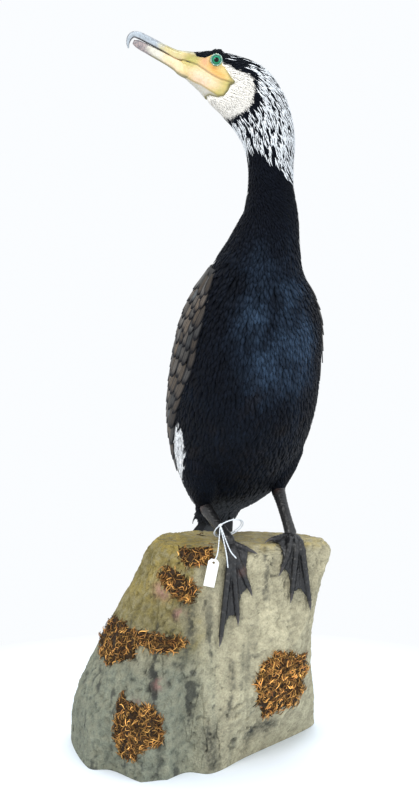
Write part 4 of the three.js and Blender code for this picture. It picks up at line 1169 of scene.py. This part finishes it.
def ball(at, radius, rows, cols, pole):
    """A ball whose first pole looks along pole."""
    pole = unit(np.asarray(pole, float))
    aside, up = square_to(pole)
    b = np.linspace(0.02, math.pi - 0.02, rows)[:, None]
    a = turns(cols)[None, :]
    around = aside * np.cos(a)[..., None] + up * np.sin(a)[..., None]
    way = pole * np.cos(b)[..., None] + around * np.sin(b)[..., None]
    return closed_loft(at + radius * way), np.broadcast_to(b, (rows, cols)), a


IRIS_DARK = np.array((0.0, 0.16, 0.08))
IRIS_LIGHT = np.array((0.03, 0.4, 0.21))
IRIS_RIM = np.array((0.0, 0.03, 0.022))
PUPIL = np.array((0.0, 0.0, 0.0))


def eye(side, name):
    look = HEAD_LEFT * side
    body, turn, around = ball(eye_centre(side), EYE_RADIUS, 90, 72, look)
    radius = np.sin(turn) * EYE_RADIUS * np.where(turn < math.pi / 2, 1, 9)
    streak = 0.5 + 0.5 * np.sin(around * 31 + 3 * np.sin(around * 7))
    iris = mix(IRIS_DARK, IRIS_LIGHT, (streak * smooth(radius, 2.4, 3.6))[..., None])
    tones = toned(iris, PUPIL, 1 - smooth(radius, 2.35, 2.75))
    tones = capped(toned(tones, IRIS_RIM, smooth(radius, 3.9, 4.4)))
    made, _, _ = tinted("eye_green", Roughness=0.12, Specular_IOR_Level=0.3)
    make_mesh(f"eyeball_{name}", *body, made, "eye_green", tones, nodes=[f"eye_{name}"])


LID_ROUND, LID_SIDES, LID_BEADS = 72, 16, 24
LID_TEAL = np.array((0.07, 0.22, 0.17))
BEAD_PALE = np.array((0.5, 0.66, 0.56))


def lid(side, name):
    look = HEAD_LEFT * side
    aside, up = square_to(look)
    at = eye_centre(side) + look * 3.1
    a = turns(LID_ROUND)[:, None]
    b = turns(LID_SIDES)[None, :]
    thick = 1.1 + 0.08 * np.sin(a * 13)
    reach = 5.3 + thick * np.cos(b)
    round_eye = aside * np.cos(a)[..., None] + up * np.sin(a)[..., None]
    points = at + round_eye * reach[..., None] + look * (thick * np.sin(b))[..., None]
    faces = grid_faces(LID_ROUND + 1, LID_SIDES, True) % (LID_ROUND * LID_SIDES)
    parts = [(points.reshape(-1, 3), faces, np.empty((0, 3), int))]
    tones = [np.tile(LID_TEAL, (LID_ROUND * LID_SIDES, 1))]
    for i in range(LID_BEADS):
        turn = 2 * math.pi * i / LID_BEADS
        place = at + (aside * math.cos(turn) + up * math.sin(turn)) * 5.9 + look * 0.75
        body, _, _ = ball(place, 0.74 + 0.1 * math.sin(i * 2.4), 8, 10, look)
        parts.append(body)
        tones.append(np.tile(mix(BEAD_PALE, LID_TEAL, 0.5 + 0.4 * math.sin(i * 1.9)), (len(body[0]), 1)))
    made, _, _ = tinted("eye_rim", Roughness=0.35, Coat_Weight=0.3, Coat_Roughness=0.2)
    make_mesh(f"eyelid_{name}", *merge(parts), made, "bare_skin", np.concatenate(tones))


# Rock
ROCK_LEVELS = [
    (0,
     [(-163, 75), (-137, -40), (-108, -53), (-64, -97), (-26, -60), (4, -62), (43, -5), (121, 104),
      (112, 135),
         (50, 150), (-50, 150), (-130, 130)]),
    (60,
     [(-156, 60), (-138, -25), (-105, -58), (-62, -96), (-24, -62), (8, -64), (60, -25), (118, 55),
      (112, 105),
          (50, 130), (-50, 130), (-122, 110)]),
    (130,
     [(-124, 35), (-108, -20), (-85, -50), (-52, -82), (-18, -66), (15, -72), (70, -50), (112, 0), (108, 70),
           (50, 100), (-40, 105), (-95, 85)]),
    (200,
     [(-88, 15), (-78, -22), (-60, -45), (-38, -66), (-8, -74), (30, -72), (85, -56), (122, -15), (118, 40),
           (60, 72), (-30, 75), (-72, 60)]),
    (236,
     [(-72, 8), (-64, -22), (-50, -40), (-28, -58), (-4, -70), (38, -68), (96, -52), (133, -15), (126, 30),
           (62, 56), (-20, 58), (-58, 44)]),
    (253,
     [(-56, 4), (-50, -18), (-40, -32), (-20, -50), (0, -64), (40, -62), (94, -46), (124, -14), (116, 22),
           (58, 44), (-16, 46), (-46, 32)]),
]


def behind_edge(p, inset):
    """Points of the rock moved back behind its rounded front edge and level top, where they pass them."""
    c, s = math.cos(EDGE_HEADING), math.sin(EDGE_HEADING)
    ahead = vec(s, -c)
    at_forward = (p[..., :2] - np.array(BIRD_AT)) @ ahead - (EDGE_FORWARD - EDGE_RADIUS)
    at_up = p[..., 2] - (ROCK_TOP - EDGE_RADIUS)
    turn = np.clip(np.arctan2(at_forward, at_up), 0, FACE_TURN)
    past = at_forward * np.sin(turn) + at_up * np.cos(turn) - (EDGE_RADIUS - inset)
    past = np.maximum(past, 0)
    moved = p.copy()
    moved[..., :2] -= (past * np.sin(turn))[..., None] * ahead
    moved[..., 2] -= past * np.cos(turn)
    return moved


def rock_body():
    rows, cols, top_rows = 230, 520, 60
    level = np.linspace(0, len(ROCK_LEVELS) - 1, rows)
    place = 12 * np.arange(cols) / cols
    outlines = []
    for _, corners in ROCK_LEVELS:
        corners = np.array(corners, float)
        around = np.concatenate([corners[-3:], corners, corners[:3]])
        outlines.append(along(around, place + 3))
    rings = along(np.array(outlines).reshape(len(outlines), -1), level).reshape(rows, cols, 2)
    height = along([row[0] for row in ROCK_LEVELS], level)
    side = np.concatenate([rings, np.broadcast_to(height[:, None, None], (rows, cols, 1))], -1)
    shrink = np.linspace(1, 0.03, top_rows)[1:, None, None]
    middle = side[-1].mean(0)
    top = middle + (side[-1][None] - middle) * shrink
    return np.concatenate([side, top])


def rock_relief(p):
    """How far the surface stands in: big dents, flutes down the face, cracks, pits and grain."""
    big = wobble(p, 60, 20, 2)
    flutes = wobble(p * np.array((1, 1, 0.16)), 17, 21, 3)
    rough = wobble(p, 13, 22, 4)
    grain = wobble(p, 4.5, 23, 3)
    crack = np.exp(-(wobble(p * np.array((1, 1, 0.35)), 26, 24, 3) / 0.035) ** 2)
    pit = smooth(wobble(p, 9, 25, 2), 0.34, 0.5)
    soft = 1.2 + 1.3 * big + 1.8 * flutes + 1.3 * rough + 0.7 * grain
    return soft + 1.8 * crack + 1.9 * pit + 1.5 * run_dark(p)


STONE_CREAM = np.array((0.43, 0.395, 0.27))
STONE_OLIVE = np.array((0.2, 0.165, 0.06))
STONE_GREEN = np.array((0.2, 0.215, 0.165))
STONE_DARK = np.array((0.055, 0.057, 0.05))
STONE_PINK = np.array((0.36, 0.2, 0.17))
STONE_YELLOW = np.array((0.42, 0.32, 0.09))
# Pink stains: where they are, seen from the front, and their size.
PINK_STAINS = ((-52, 203, 9), (-76, 78, 9), (-33, 181, 6), (-55, 106, 6))
# Cracks and dark runs down the face: their line as (x, z), and their half-width.
RUNS = [
    ([(61, 246), (64, 222), (61, 190)], 2.6), ([(25, 122), (26, 94), (20, 62)], 3.2),
    ([(-1, 48), (1, 20), (3, 4)], 8),
    ([(-22, 195), (-20, 162), (-27, 132)], 6), ([(-60, 116), (-60, 82)], 4), ([(-36, 126), (-29, 122)], 3.5),
    ([(44, 33), (62, 38), (74, 33)], 7), ([(-58, 50), (-52, 20), (-60, 4)], 5),
]


def run_dark(p):
    """How dark the cracks and runs make the stone, 0 to 1."""
    x, z = p[..., 0] + 2.5 * wobble(p, 9, 33, 2), p[..., 2]
    made = np.zeros(np.shape(x))
    for line, wide in RUNS:
        made = np.maximum(made, np.exp(-(from_line(x, z, line) / wide) ** 2))
    return made * np.clip(0.75 + 0.9 * wobble(p, 4, 34, 3), 0, 1)


def rock_colour(p, relief):
    x, z = p[..., 0], p[..., 2]
    cloud = wobble(p, 42, 30, 4)
    fine = wobble(p, 7, 31, 4)
    runs = wobble(p * np.array((1, 1, 0.12)), 15, 32, 4)
    upper_left = smooth(-x - 5 + 25 * cloud, -15, 30) * smooth(z + 30 * cloud, 110, 165)
    lower_left = smooth(-x + 25 * cloud, 0, 50) * smooth(150 - z + 25 * cloud, 0, 50)
    speck = wobble(p, 2.6, 35, 3)
    made = np.broadcast_to(STONE_CREAM, p.shape) * (1 + 0.25 * fine + 0.2 * cloud + 0.15 * speck)[..., None]
    made = toned(made, STONE_OLIVE, upper_left * (0.9 + 0.4 * fine))
    made = toned(made, STONE_YELLOW, 0.3 * upper_left * smooth(cloud + 0.6 * fine, 0.1, 0.7))
    made = toned(made, STONE_GREEN, lower_left * (0.8 + 0.6 * fine))
    made = toned(made, STONE_GREEN, 0.55 * smooth(-x + 40 * runs, -50, 20) * smooth(200 - z, 0, 120))
    dark = smooth(runs + 0.5 * fine, 0.3, 0.75) * smooth(230 - z, 0, 90)
    dark = dark * (0.35 + 0.65 * smooth(60 - x, 0, 60))
    dark = dark + 0.95 * run_dark(p)
    made = toned(made, STONE_DARK, 0.8 * dark)
    # Painted shade: the stone is darkened in its dents, as shade falls in hollows; the fine speckle added to
    # it is the stone's own.
    dents = 0.6 * smooth(relief, 3.2, 5.5)
    made = toned(made, STONE_DARK, dents + 0.45 * smooth(fine + 0.5 * speck, 0.35, 0.9))
    for sx, sz, size in PINK_STAINS:
        made = toned(made, STONE_PINK, 0.85 * spot(p, sx, sz, size) * smooth(fine, -0.5, 0.3))
    top = smooth(z, 238, 249)
    made = toned(made, STONE_YELLOW, top * np.clip(0.5 + 0.9 * fine, 0, 1) * 0.7)
    # Painted shade: the further the surface stands in, the darker it is made.
    return made * np.clip(1 - 0.07 * relief, 0.5, 1.2)[..., None]


def rock():
    points = rock_body()
    relief = rock_relief(points)
    inward = unit(np.concatenate([-points[..., :2], np.zeros(points.shape[:2] + (1,))], -1))
    level = smooth(points[..., 2], 0, 6) * smooth(256 - points[..., 2], 0, 6)
    moved = points + inward * (np.clip(relief, -0.4, 8) * level)[..., None]
    moved = behind_edge(moved, np.clip(0.3 + 0.35 * relief, 0, 3))
    moved[..., 2] = np.maximum(moved[..., 2], 0)
    tones = capped(rock_colour(moved, relief))
    made, tree, shader = material("rock_plaster", Roughness=0.92, Specular_IOR_Level=0.2)
    fine = noise_node(tree, 520, 6)
    coarse = noise_node(tree, 130, 6)
    grain = math_node(tree, "ADD", fine, coarse)
    speckled(tree, shader, grain, 0.75, 0.27)
    bump(tree, shader, grain, 0.9, 0.0022)
    return make_mesh("rock", *closed_loft(moved), made, "rock_plaster", tones, nodes=["rock_base"])


# Moss
MOSS = [
    ([(-14, 245, 19, 13, 0)], 0.75),
    ([(-34, 211, 23, 12, -0.6)], 0.85),
    ([(-106, 137, 26, 20, 0.5), (-62, 149, 36, 9, 0)], 0.7),
    ([(-90, 53, 15, 34, 0), (-68, 60, 16, 24, 0.35)], 0.75),
    ([(81, 89, 29, 40, -0.06)], 1.15),
]
MOSS_GOLD = np.array((0.95, 0.52, 0.14))
MOSS_RED = np.array((0.3, 0.1, 0.03))
# The near-black colour of the moss bed, painted shade deep between the fibres.
MOSS_MAT_SHADE = np.array((0.03, 0.017, 0.008))
FIBRES_PER_CM2 = 26
FIBRE_LENGTH = (5, 13)
FIBRE_RADIUS = (0.32, 0.62)
# How thick a fibre is along its length, as a share of its radius.
FIBRE_SHAPE = [0.35, 0.8, 1, 1, 0.9, 0.7, 0.25]
BED_CELL, BED_THICK, BED_RIM = 1.5, 1.5, 0.1


def in_blobs(x, z, blobs, grow=1.0):
    found = np.zeros(np.shape(x), bool)
    for bx, bz, wide, high, turn in blobs:
        c, s = math.cos(turn), math.sin(turn)
        u, w = ((x - bx) * c + (z - bz) * s) / wide, ((z - bz) * c - (x - bx) * s) / high
        a = np.arctan2(w, u)
        edge = grow * (1 + 0.12 * np.sin(2 * a) ** 2 + 0.06 * np.sin(5 * a + bx) + 0.05 * np.sin(11 * a))
        found |= np.hypot(u, w) < edge
    return found


def on_rock(tree, x, z):
    """The rock's front surface at x and z, and its normal, where it is met from the front."""
    at, way, hit = np.empty((len(x), 3)), np.empty((len(x), 3)), np.zeros(len(x), bool)
    for i, (px, pz) in enumerate(zip(x, z)):
        place, normal, _, _ = tree.ray_cast(Vector((px * MM, -0.3, pz * MM)), Vector((0, 1, 0)))
        if place is not None:
            at[i], way[i], hit[i] = np.array(place) / MM, normal, True
    return at, way, hit


def moss(tree, index, blobs, bright):
    reach = np.array([(bx, bz, max(wide, high) * 1.2) for bx, bz, wide, high, _ in blobs])
    low_x, low_z = (reach[:, :2] - reach[:, 2:]).min(0)
    high_x, high_z = (reach[:, :2] + reach[:, 2:]).max(0)
    count = int((high_x - low_x) * (high_z - low_z) / 100 * FIBRES_PER_CM2)
    x, z = rng.uniform(low_x, high_x, count), rng.uniform(low_z, high_z, count)
    kept = in_blobs(x, z, blobs)
    at, way, hit = on_rock(tree, x[kept], z[kept])
    at, way = at[hit], way[hit]
    count = len(at)
    steps, sides = len(FIBRE_SHAPE), 4
    aside = unit(np.cross(way, rng.normal(0, 1, (count, 3))))
    length = rng.uniform(*FIBRE_LENGTH, count)
    k = np.linspace(0, 1, steps)
    bend = rng.normal(0, 1.0, (count, 3))
    base = rng.uniform(0.2, 2.4, count)
    hump = rng.uniform(0.4, 2.2, count)
    curl = rng.uniform(0, 6.28, count)
    line = at[:, None] + aside[:, None] * (length[:, None] * (k - 0.5))[..., None]
    line = line + way[:, None] * (base[:, None] + hump[:, None] * np.sin(math.pi * k + 0.4) - 0.5)[..., None]
    line = line + np.cross(way, aside)[:, None] * (1.3 * np.sin(k * 5 + curl[:, None]))[..., None]
    line = line + bend[:, None] * (k * (1 - k))[None, :, None] * 1.2
    radius = rng.uniform(*FIBRE_RADIUS, count)[:, None] * np.array(FIBRE_SHAPE)
    run = unit(np.gradient(line, axis=1))
    high = unit(np.cross(run, aside[:, None] + 0.3))
    wide = np.cross(high, run)
    a = turns(sides)
    ring = wide[:, :, None] * np.cos(a)[:, None] + high[:, :, None] * np.sin(a)[:, None]
    points = line[:, :, None] + ring * radius[:, :, None, None]
    quads = grid_faces(steps, sides, True)
    ends = np.array([(3, 2, 1, 0), tuple((steps - 1) * sides + j for j in range(sides))])
    quads = np.concatenate([quads, ends])
    first = (np.arange(count) * steps * sides)[:, None, None]
    gold = rng.uniform(0, 1, count) ** 0.8
    clump = np.clip(0.8 + 1.3 * wobble(at, 5, 50 + index, 2), 0.15, 1.7)[:, None]
    tones = mix(MOSS_RED, MOSS_GOLD, gold[:, None]) * (bright * clump * rng.uniform(0.15, 1.8, (count, 1)))
    # Painted shade: fibres that lie low, near the rock, are made darker, as shade falls deep in the moss.
    depth = np.clip((base - 0.2) / 2.2 + 0.1, 0.1, 1)[:, None]
    tones = np.repeat(tones * depth, steps * sides, 0)
    quads = (quads[None] + first).reshape(-1, 4)
    make_mesh(f"moss_fibres_{index}", points.reshape(-1, 3), quads, [], MOSS_FINISH, "moss", tones,
              nodes=[f"moss_patch_{index}"])
    moss_bed(tree, index, blobs, low_x, high_x, low_z, high_z)


def moss_bed(tree, index, blobs, low_x, high_x, low_z, high_z):
    """The matted underlayer: a low pad on the rock that thins out at its rim, coloured near black as painted
    shade deep between the fibres.
    """
    x, z = np.meshgrid(np.arange(low_x, high_x, BED_CELL), np.arange(low_z, high_z, BED_CELL))
    at, way, hit = on_rock(tree, x.ravel(), z.ravel())
    inside_now = (in_blobs(x, z, blobs, 1.0).ravel() & hit).reshape(x.shape)
    core = (in_blobs(x, z, blobs, 0.9).ravel() & hit).reshape(x.shape)
    at[~hit], way[~hit] = 0, (0, -1, 0)
    raised = np.where(core.ravel(), 1.4 + 0.7 * np.sin(at[:, 0] * 1.7) * np.sin(at[:, 2] * 1.9), BED_RIM)
    over = at + way * raised[:, None]
    under = at - way * BED_THICK
    rows, cols = x.shape
    cell = inside_now[:-1, :-1] & inside_now[1:, :-1] & inside_now[:-1, 1:] & inside_now[1:, 1:]
    r, c = np.nonzero(cell)
    quad = np.stack([r * cols + c, r * cols + c + 1, (r + 1) * cols + c + 1, (r + 1) * cols + c], -1)
    count = rows * cols
    quads = [quad, quad[:, ::-1] + count]
    edges = {}
    for loop in quad:
        for i in range(4):
            a, b = loop[i], loop[(i + 1) % 4]
            if (b, a) in edges:
                del edges[(b, a)]
            else:
                edges[(a, b)] = True
    walls = np.array([(b, a, a + count, b + count) for a, b in edges])
    faces = np.concatenate(quads + [walls])
    used, compact = np.unique(faces, return_inverse=True)
    points = np.concatenate([over, under])[used]
    make_mesh(f"moss_bed_{index}", points, compact.reshape(-1, 4), [], MOSS_FINISH, "moss",
              np.tile(MOSS_MAT_SHADE, (len(points), 1)))


def moss_material():
    made, tree, shader = material("moss_dry", Roughness=0.8, Specular_IOR_Level=0.25)
    speckled(tree, shader, noise_node(tree, 700, 3), 0.7, 0.65)
    return made


MOSS_FINISH = moss_material()


# Tag
STRING_RADIUS = 0.42
KNOT_RADIUS = 1.5
LOOP = {"long": 18, "short": 11, "shift": 8.5, "share": 0.74, "knot": math.radians(125)}
# The size and drop of each turn round the leg.
LOOP_TURNS = ((1.0, 0.0), (0.9, -1.4))
LOOP_STEPS, LOOP_TWISTS = 120, 26
END_STEPS, END_TWISTS = 60, 10
# From the knot on: two free ends, and the string's way to the card.
STRING_ENDS = [
    [(22, -62, 251), (29, -63, 241.5)],
    [(18, -62, 248), (20, -62.5, 231)],
    [(9, -60, 248), (5.2, -61.6, 238.2)],
]


def cord_lay(line, turns):
    """Two strands twisted round a line."""
    line = np.asarray(line)
    run = unit(np.gradient(line, axis=0))
    high = unit(np.cross(run, (0.2, 0.9, 0.4)))
    wide = np.cross(high, run)
    k = np.linspace(0, 1, len(line))[:, None] * 2 * math.pi * turns
    parts = []
    for start in (0, math.pi):
        way = wide * np.cos(k + start) + high * np.sin(k + start)
        parts.append(tube(line + way * STRING_RADIUS * 0.85, STRING_RADIUS, 7, up=(0.2, 0.9, 0.4)))
    return parts


def tag_string():
    heel = HEEL["right"]
    across, place = JOINT["right"]
    ankle = on_edge(across, place, 8)
    down = unit(ankle - heel)
    sideways = unit(np.array((1, 0, 0)) - down * down[0])
    forward = unit(np.cross(down, sideways))
    forward = -forward if forward[1] > 0 else forward
    middle = heel + (ankle - heel) * LOOP["share"] + sideways * LOOP["shift"]

    def on_loop(a, size, lift):
        beside = sideways * (LOOP["long"] * size * np.cos(a))[..., None]
        ahead = forward * (LOOP["short"] * size * np.sin(a))[..., None]
        return middle + beside + ahead + down * np.asarray(lift)[..., None]
    knot = on_loop(np.float64(LOOP["knot"]), 1, 0.0)
    parts = []
    for size, lift in LOOP_TURNS:
        a = LOOP["knot"] + np.linspace(0, 2 * math.pi, LOOP_STEPS)
        held = np.sin(np.linspace(0, math.pi, LOOP_STEPS)) ** 0.5
        parts += cord_lay(on_loop(a, 1 + (size - 1) * held, lift * held), LOOP_TWISTS)
    for i in range(3):
        body, _, _ = ball(knot + np.array((0.5, -0.3, 0.4)) * (i - 1) * 1.5, KNOT_RADIUS, 12, 14, (1, i, 1))
        parts.append(body)
    for ends in STRING_ENDS:
        parts += cord_lay(smooth_path([knot] + [np.array(e, float) for e in ends], END_STEPS), END_TWISTS)
    made, tree, shader = material(
        "string_white", Roughness=0.85, Base_Color=(0.74, 0.79, 0.84, 1), Sheen_Weight=0.3)
    bump(tree, shader, noise_node(tree, 900, 3), 0.4, 0.0004)
    make_mesh("string", *merge(parts), made, "string_white", nodes=["tag_string"])


def tag_card():
    made, tree, shader = material("card_white", Roughness=0.8)
    fibre = noise_node(tree, 350, 5)
    paper = blend_colour(tree, "MIX", fibre, (0.8, 0.8, 0.78, 1), (0.9, 0.9, 0.89, 1))
    tree.links.new(paper, shader.inputs["Base Color"])
    bump(tree, shader, fibre, 0.2, 0.0003)
    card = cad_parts["tag_card"]
    card.data.materials.clear()
    card.data.materials.append(made)


# Studio
FLOOR_NEAR, FLOOR_FAR = 0.4, 0.56
FLOOR_HALF = 6
DAYLIGHT = (0.96, 0.98, 1, 1)
CAMERA_AT = (0, -1.9, 0.64)
CAMERA_TILT = math.radians(83)
LENS, SENSOR = 77.7, 36
LAMPS_AIM = (0.02, -0.02, 0.42)
# Name, place, size, power and colour of each lamp.
LAMPS = (
    ("key", (-0.9, -1.6, 1.7), 0.9, 26, (1, 0.99, 0.96)),
    ("fill", (1.6, -1.2, 0.9), 1.4, 14, (0.9, 0.95, 1)),
    ("top", (0.2, 0.4, 2.1), 1.2, 16, (0.85, 0.93, 1)),
)


def floor_finish():
    """A pale floor that passes into the white of the studio further out."""
    made, tree, shader = material("floor", Base_Color=(0.84, 0.9, 0.97, 1), Roughness=0.8)
    away = node(tree, "ShaderNodeVectorMath", {0: place_node(tree)}, operation="LENGTH").outputs["Value"]
    glow = node(tree, "ShaderNodeEmission", {"Color": DAYLIGHT, "Strength": 1.0})
    blend = node(tree, "ShaderNodeMixShader", {0: ramp(tree, away, FLOOR_NEAR, FLOOR_FAR)})
    tree.links.new(shader.outputs[0], blend.inputs[1])
    tree.links.new(glow.outputs[0], blend.inputs[2])
    tree.links.new(blend.outputs[0], tree.nodes["Material Output"].inputs["Surface"])
    return made


def studio():
    scene = bpy.context.scene
    scene.view_settings.view_transform = "Standard"
    camera = bpy.data.objects.new("camera", bpy.data.cameras.new("camera"))
    camera.location = CAMERA_AT
    camera.rotation_euler = (CAMERA_TILT, 0, 0)
    camera.data.lens = LENS
    camera.data.sensor_width = SENSOR
    scene.collection.objects.link(camera)
    scene.camera = camera
    floor_material = floor_finish()
    floor_mesh = bpy.data.meshes.new("floor")
    corners = [(x * FLOOR_HALF, y * FLOOR_HALF, 0) for x, y in ((-1, -1), (1, -1), (1, 1), (-1, 1))]
    floor_mesh.from_pydata(corners, [], [(0, 1, 2, 3)])
    floor = bpy.data.objects.new("floor", floor_mesh)
    floor_mesh.materials.append(floor_material)
    scene.collection.objects.link(floor)
    world = bpy.data.worlds.new("studio")
    world.use_nodes = True
    world.node_tree.nodes["Background"].inputs["Color"].default_value = DAYLIGHT
    world.node_tree.nodes["Background"].inputs["Strength"].default_value = 1.0
    scene.world = world
    for name, place, size, power, colour in LAMPS:
        light = bpy.data.lights.new(name, "AREA")
        light.size = size
        light.energy = power
        light.color = colour
        lamp = bpy.data.objects.new(name, light)
        lamp.location = place
        lamp.rotation_euler = (Vector(LAMPS_AIM) - Vector(place)).to_track_quat("-Z", "Y").to_euler()
        scene.collection.objects.link(lamp)


# The bird
def flesh_skin():
    def out(t, a):
        made = mix(SKIN_OUT["body"], SKIN_OUT["neck"], smooth(t, 10, 12.5))
        made = mix(made, SKIN_OUT["head"], smooth(t, 17, 19))
        return made + socket_move(on_flesh(t, a))
    body = closed_loft(flesh_rings(STATION["tail"] - 0.3, STATION["bill"], 240, 72, out))
    shapes = [body, thigh_body("right", -2.4), thigh_body("left", -2.4)]
    nodes = ["torso", "neck_lower", "neck_upper", "head", "thigh_left", "thigh_right"]
    fuse("skin", shapes, 1.7, 2, SKIN, "plumage_black", nodes, plumage)


def covered_head(p):
    """Where the head carries feathers."""
    from_eye = np.hypot(p[..., 0] - EYE_XZ[0], p[..., 2] - EYE_XZ[1])
    return (bare_face(p) < 0.2) & (from_eye > 6.7)


BLACK_COAT = (PLUMAGE, "plumage_black")
WHITE_COAT = (WHITE_PLUMAGE, "plumage_white")
BODY_LIFT = (-3.0, 0.55)
BODY_WIDE = 5.6
BACK_LONGER, BACK_WIDER = 2, 1.6
FINE_HAIR = (2.0, 1.3, 6.5, 2.0)


def on_front(t, a, p):
    return ~under_wing(t, a) & (np.abs(a) > math.pi / 2)


def on_rear(t, a, p):
    return ~under_wing(t, a) & (np.abs(a) <= math.pi / 2)


def body_length(t):
    return mix(17.0, 21.0, smooth(10 - t, 0, 4))


def body_coats():
    neck, tail_end = STATION["neck"] + 0.2, 1.9
    sizes = (4.6, 3.1, body_length, BODY_WIDE, BODY_LIFT)
    coat("coat_belly", (STATION["breast"], tail_end), *sizes, on_front, *BLACK_COAT)
    coat("coat_breast", (neck, STATION["breast"]), *sizes, on_front, *BLACK_COAT)
    coat("coat_back", (neck, tail_end), 5.5, 4.2, lambda t: body_length(t) + BACK_LONGER,
         BODY_WIDE + BACK_WIDER, BODY_LIFT, on_rear, *BLACK_COAT)


def down_neck(least, most):
    """A size that grows from least at the top of the neck to most at its root."""
    return lambda t: mix(least, most, smooth(13.5 - t, 0, 3))


def anywhere(t, a, p):
    return np.ones(len(t), bool)


def dark_head(t, a, p):
    return covered_head(p) & (white_face(p) < 0.5)


def white_head(t, a, p):
    return covered_head(p) & (white_face(p) >= 0.5)


def neck_coats():
    sizes = (down_neck(2.8, 4.2), down_neck(1.9, 2.8), down_neck(10.0, 16.0), down_neck(3.0, 4.8))
    coat("coat_neck", (STATION["nape"], STATION["neck"]), *sizes, (-2.0, 0.45), anywhere, *BLACK_COAT,
         crown=0.25)
    span = (STATION["bill"] + 0.1, STATION["nape"])
    coat("coat_head", span, *FINE_HAIR, (-1.3, 0.5), dark_head, *BLACK_COAT, rows=HAIR_ROWS,
         crown=0.2, turn=0.12, surface=on_head)
    coat("coat_face_white", span, *FINE_HAIR, (-1.3, 0.45), white_head, *WHITE_COAT, rows=HAIR_ROWS,
         crown=0.2, turn=0.15, spread=0.05, surface=on_head)


PLUME_SPAN = (21.3, 13.6)
PLUME_SIZES = (2.3, 1.35, 11.0, 1.25)


def plume_share(t, a, p):
    """The share of places with a white plume: most on the nape, none low down or by the white cheek."""
    back = np.cos(a)
    low = mix(15.6, 14.0, smooth(back, -0.7, 0.6)) + 0.35 * wobble(p, 11, 40, 2)
    made = smooth(t, low, low + 1.1) * (1 - 0.85 * smooth(t, 18.9, 19.9))
    clear = smooth(-inside(p[..., 0], p[..., 2], WHITE_FACE), 3.0, 9.0)
    bundle = smooth(wobble(p * np.array((1, 1, 0.25)), 3.2, 41, 2), -0.55, 0.25)
    return made * clear * bundle * mix(0.4, 0.75, smooth(back, -0.4, 0.5)) * covered_head(p)


def has_plume(t, a, p):
    return rng.uniform(0, 1, len(t)) < plume_share(t, a, p)


def plume_colour(p):
    return np.broadcast_to(PLUME_WHITE, p.shape)


def plumes():
    coat("coat_neck_plumes", PLUME_SPAN, *PLUME_SIZES, (-0.6, 1.15), has_plume, *WHITE_COAT, rows=HAIR_ROWS,
         crown=0.2, turn=0.16, spread=0.12, colour=plume_colour)


def bird():
    flesh_skin()
    body_coats()
    neck_coats()
    plumes()
    for side, name in ((1, "left"), (-1, "right")):
        wing(side, name)
        thigh_coat(name)
        leg(name)
        eye(side, name)
        lid(side, name)
        for toe in range(4):
            claw(name, toe)
    tail()
    bare_skin()
    bill_piece("maxilla", MAXILLA, 1, ["bill_upper"])
    bill_piece("mandible", MANDIBLE, -1, ["bill_lower"])


def mount():
    stone = rock()
    bpy.context.view_layer.update()
    tree = BVHTree.FromObject(stone, bpy.context.evaluated_depsgraph_get())
    for index, (blobs, bright) in enumerate(MOSS, 1):
        moss(tree, index, blobs, bright)
    tag_card()
    tag_string()


studio()
bird()
mount()
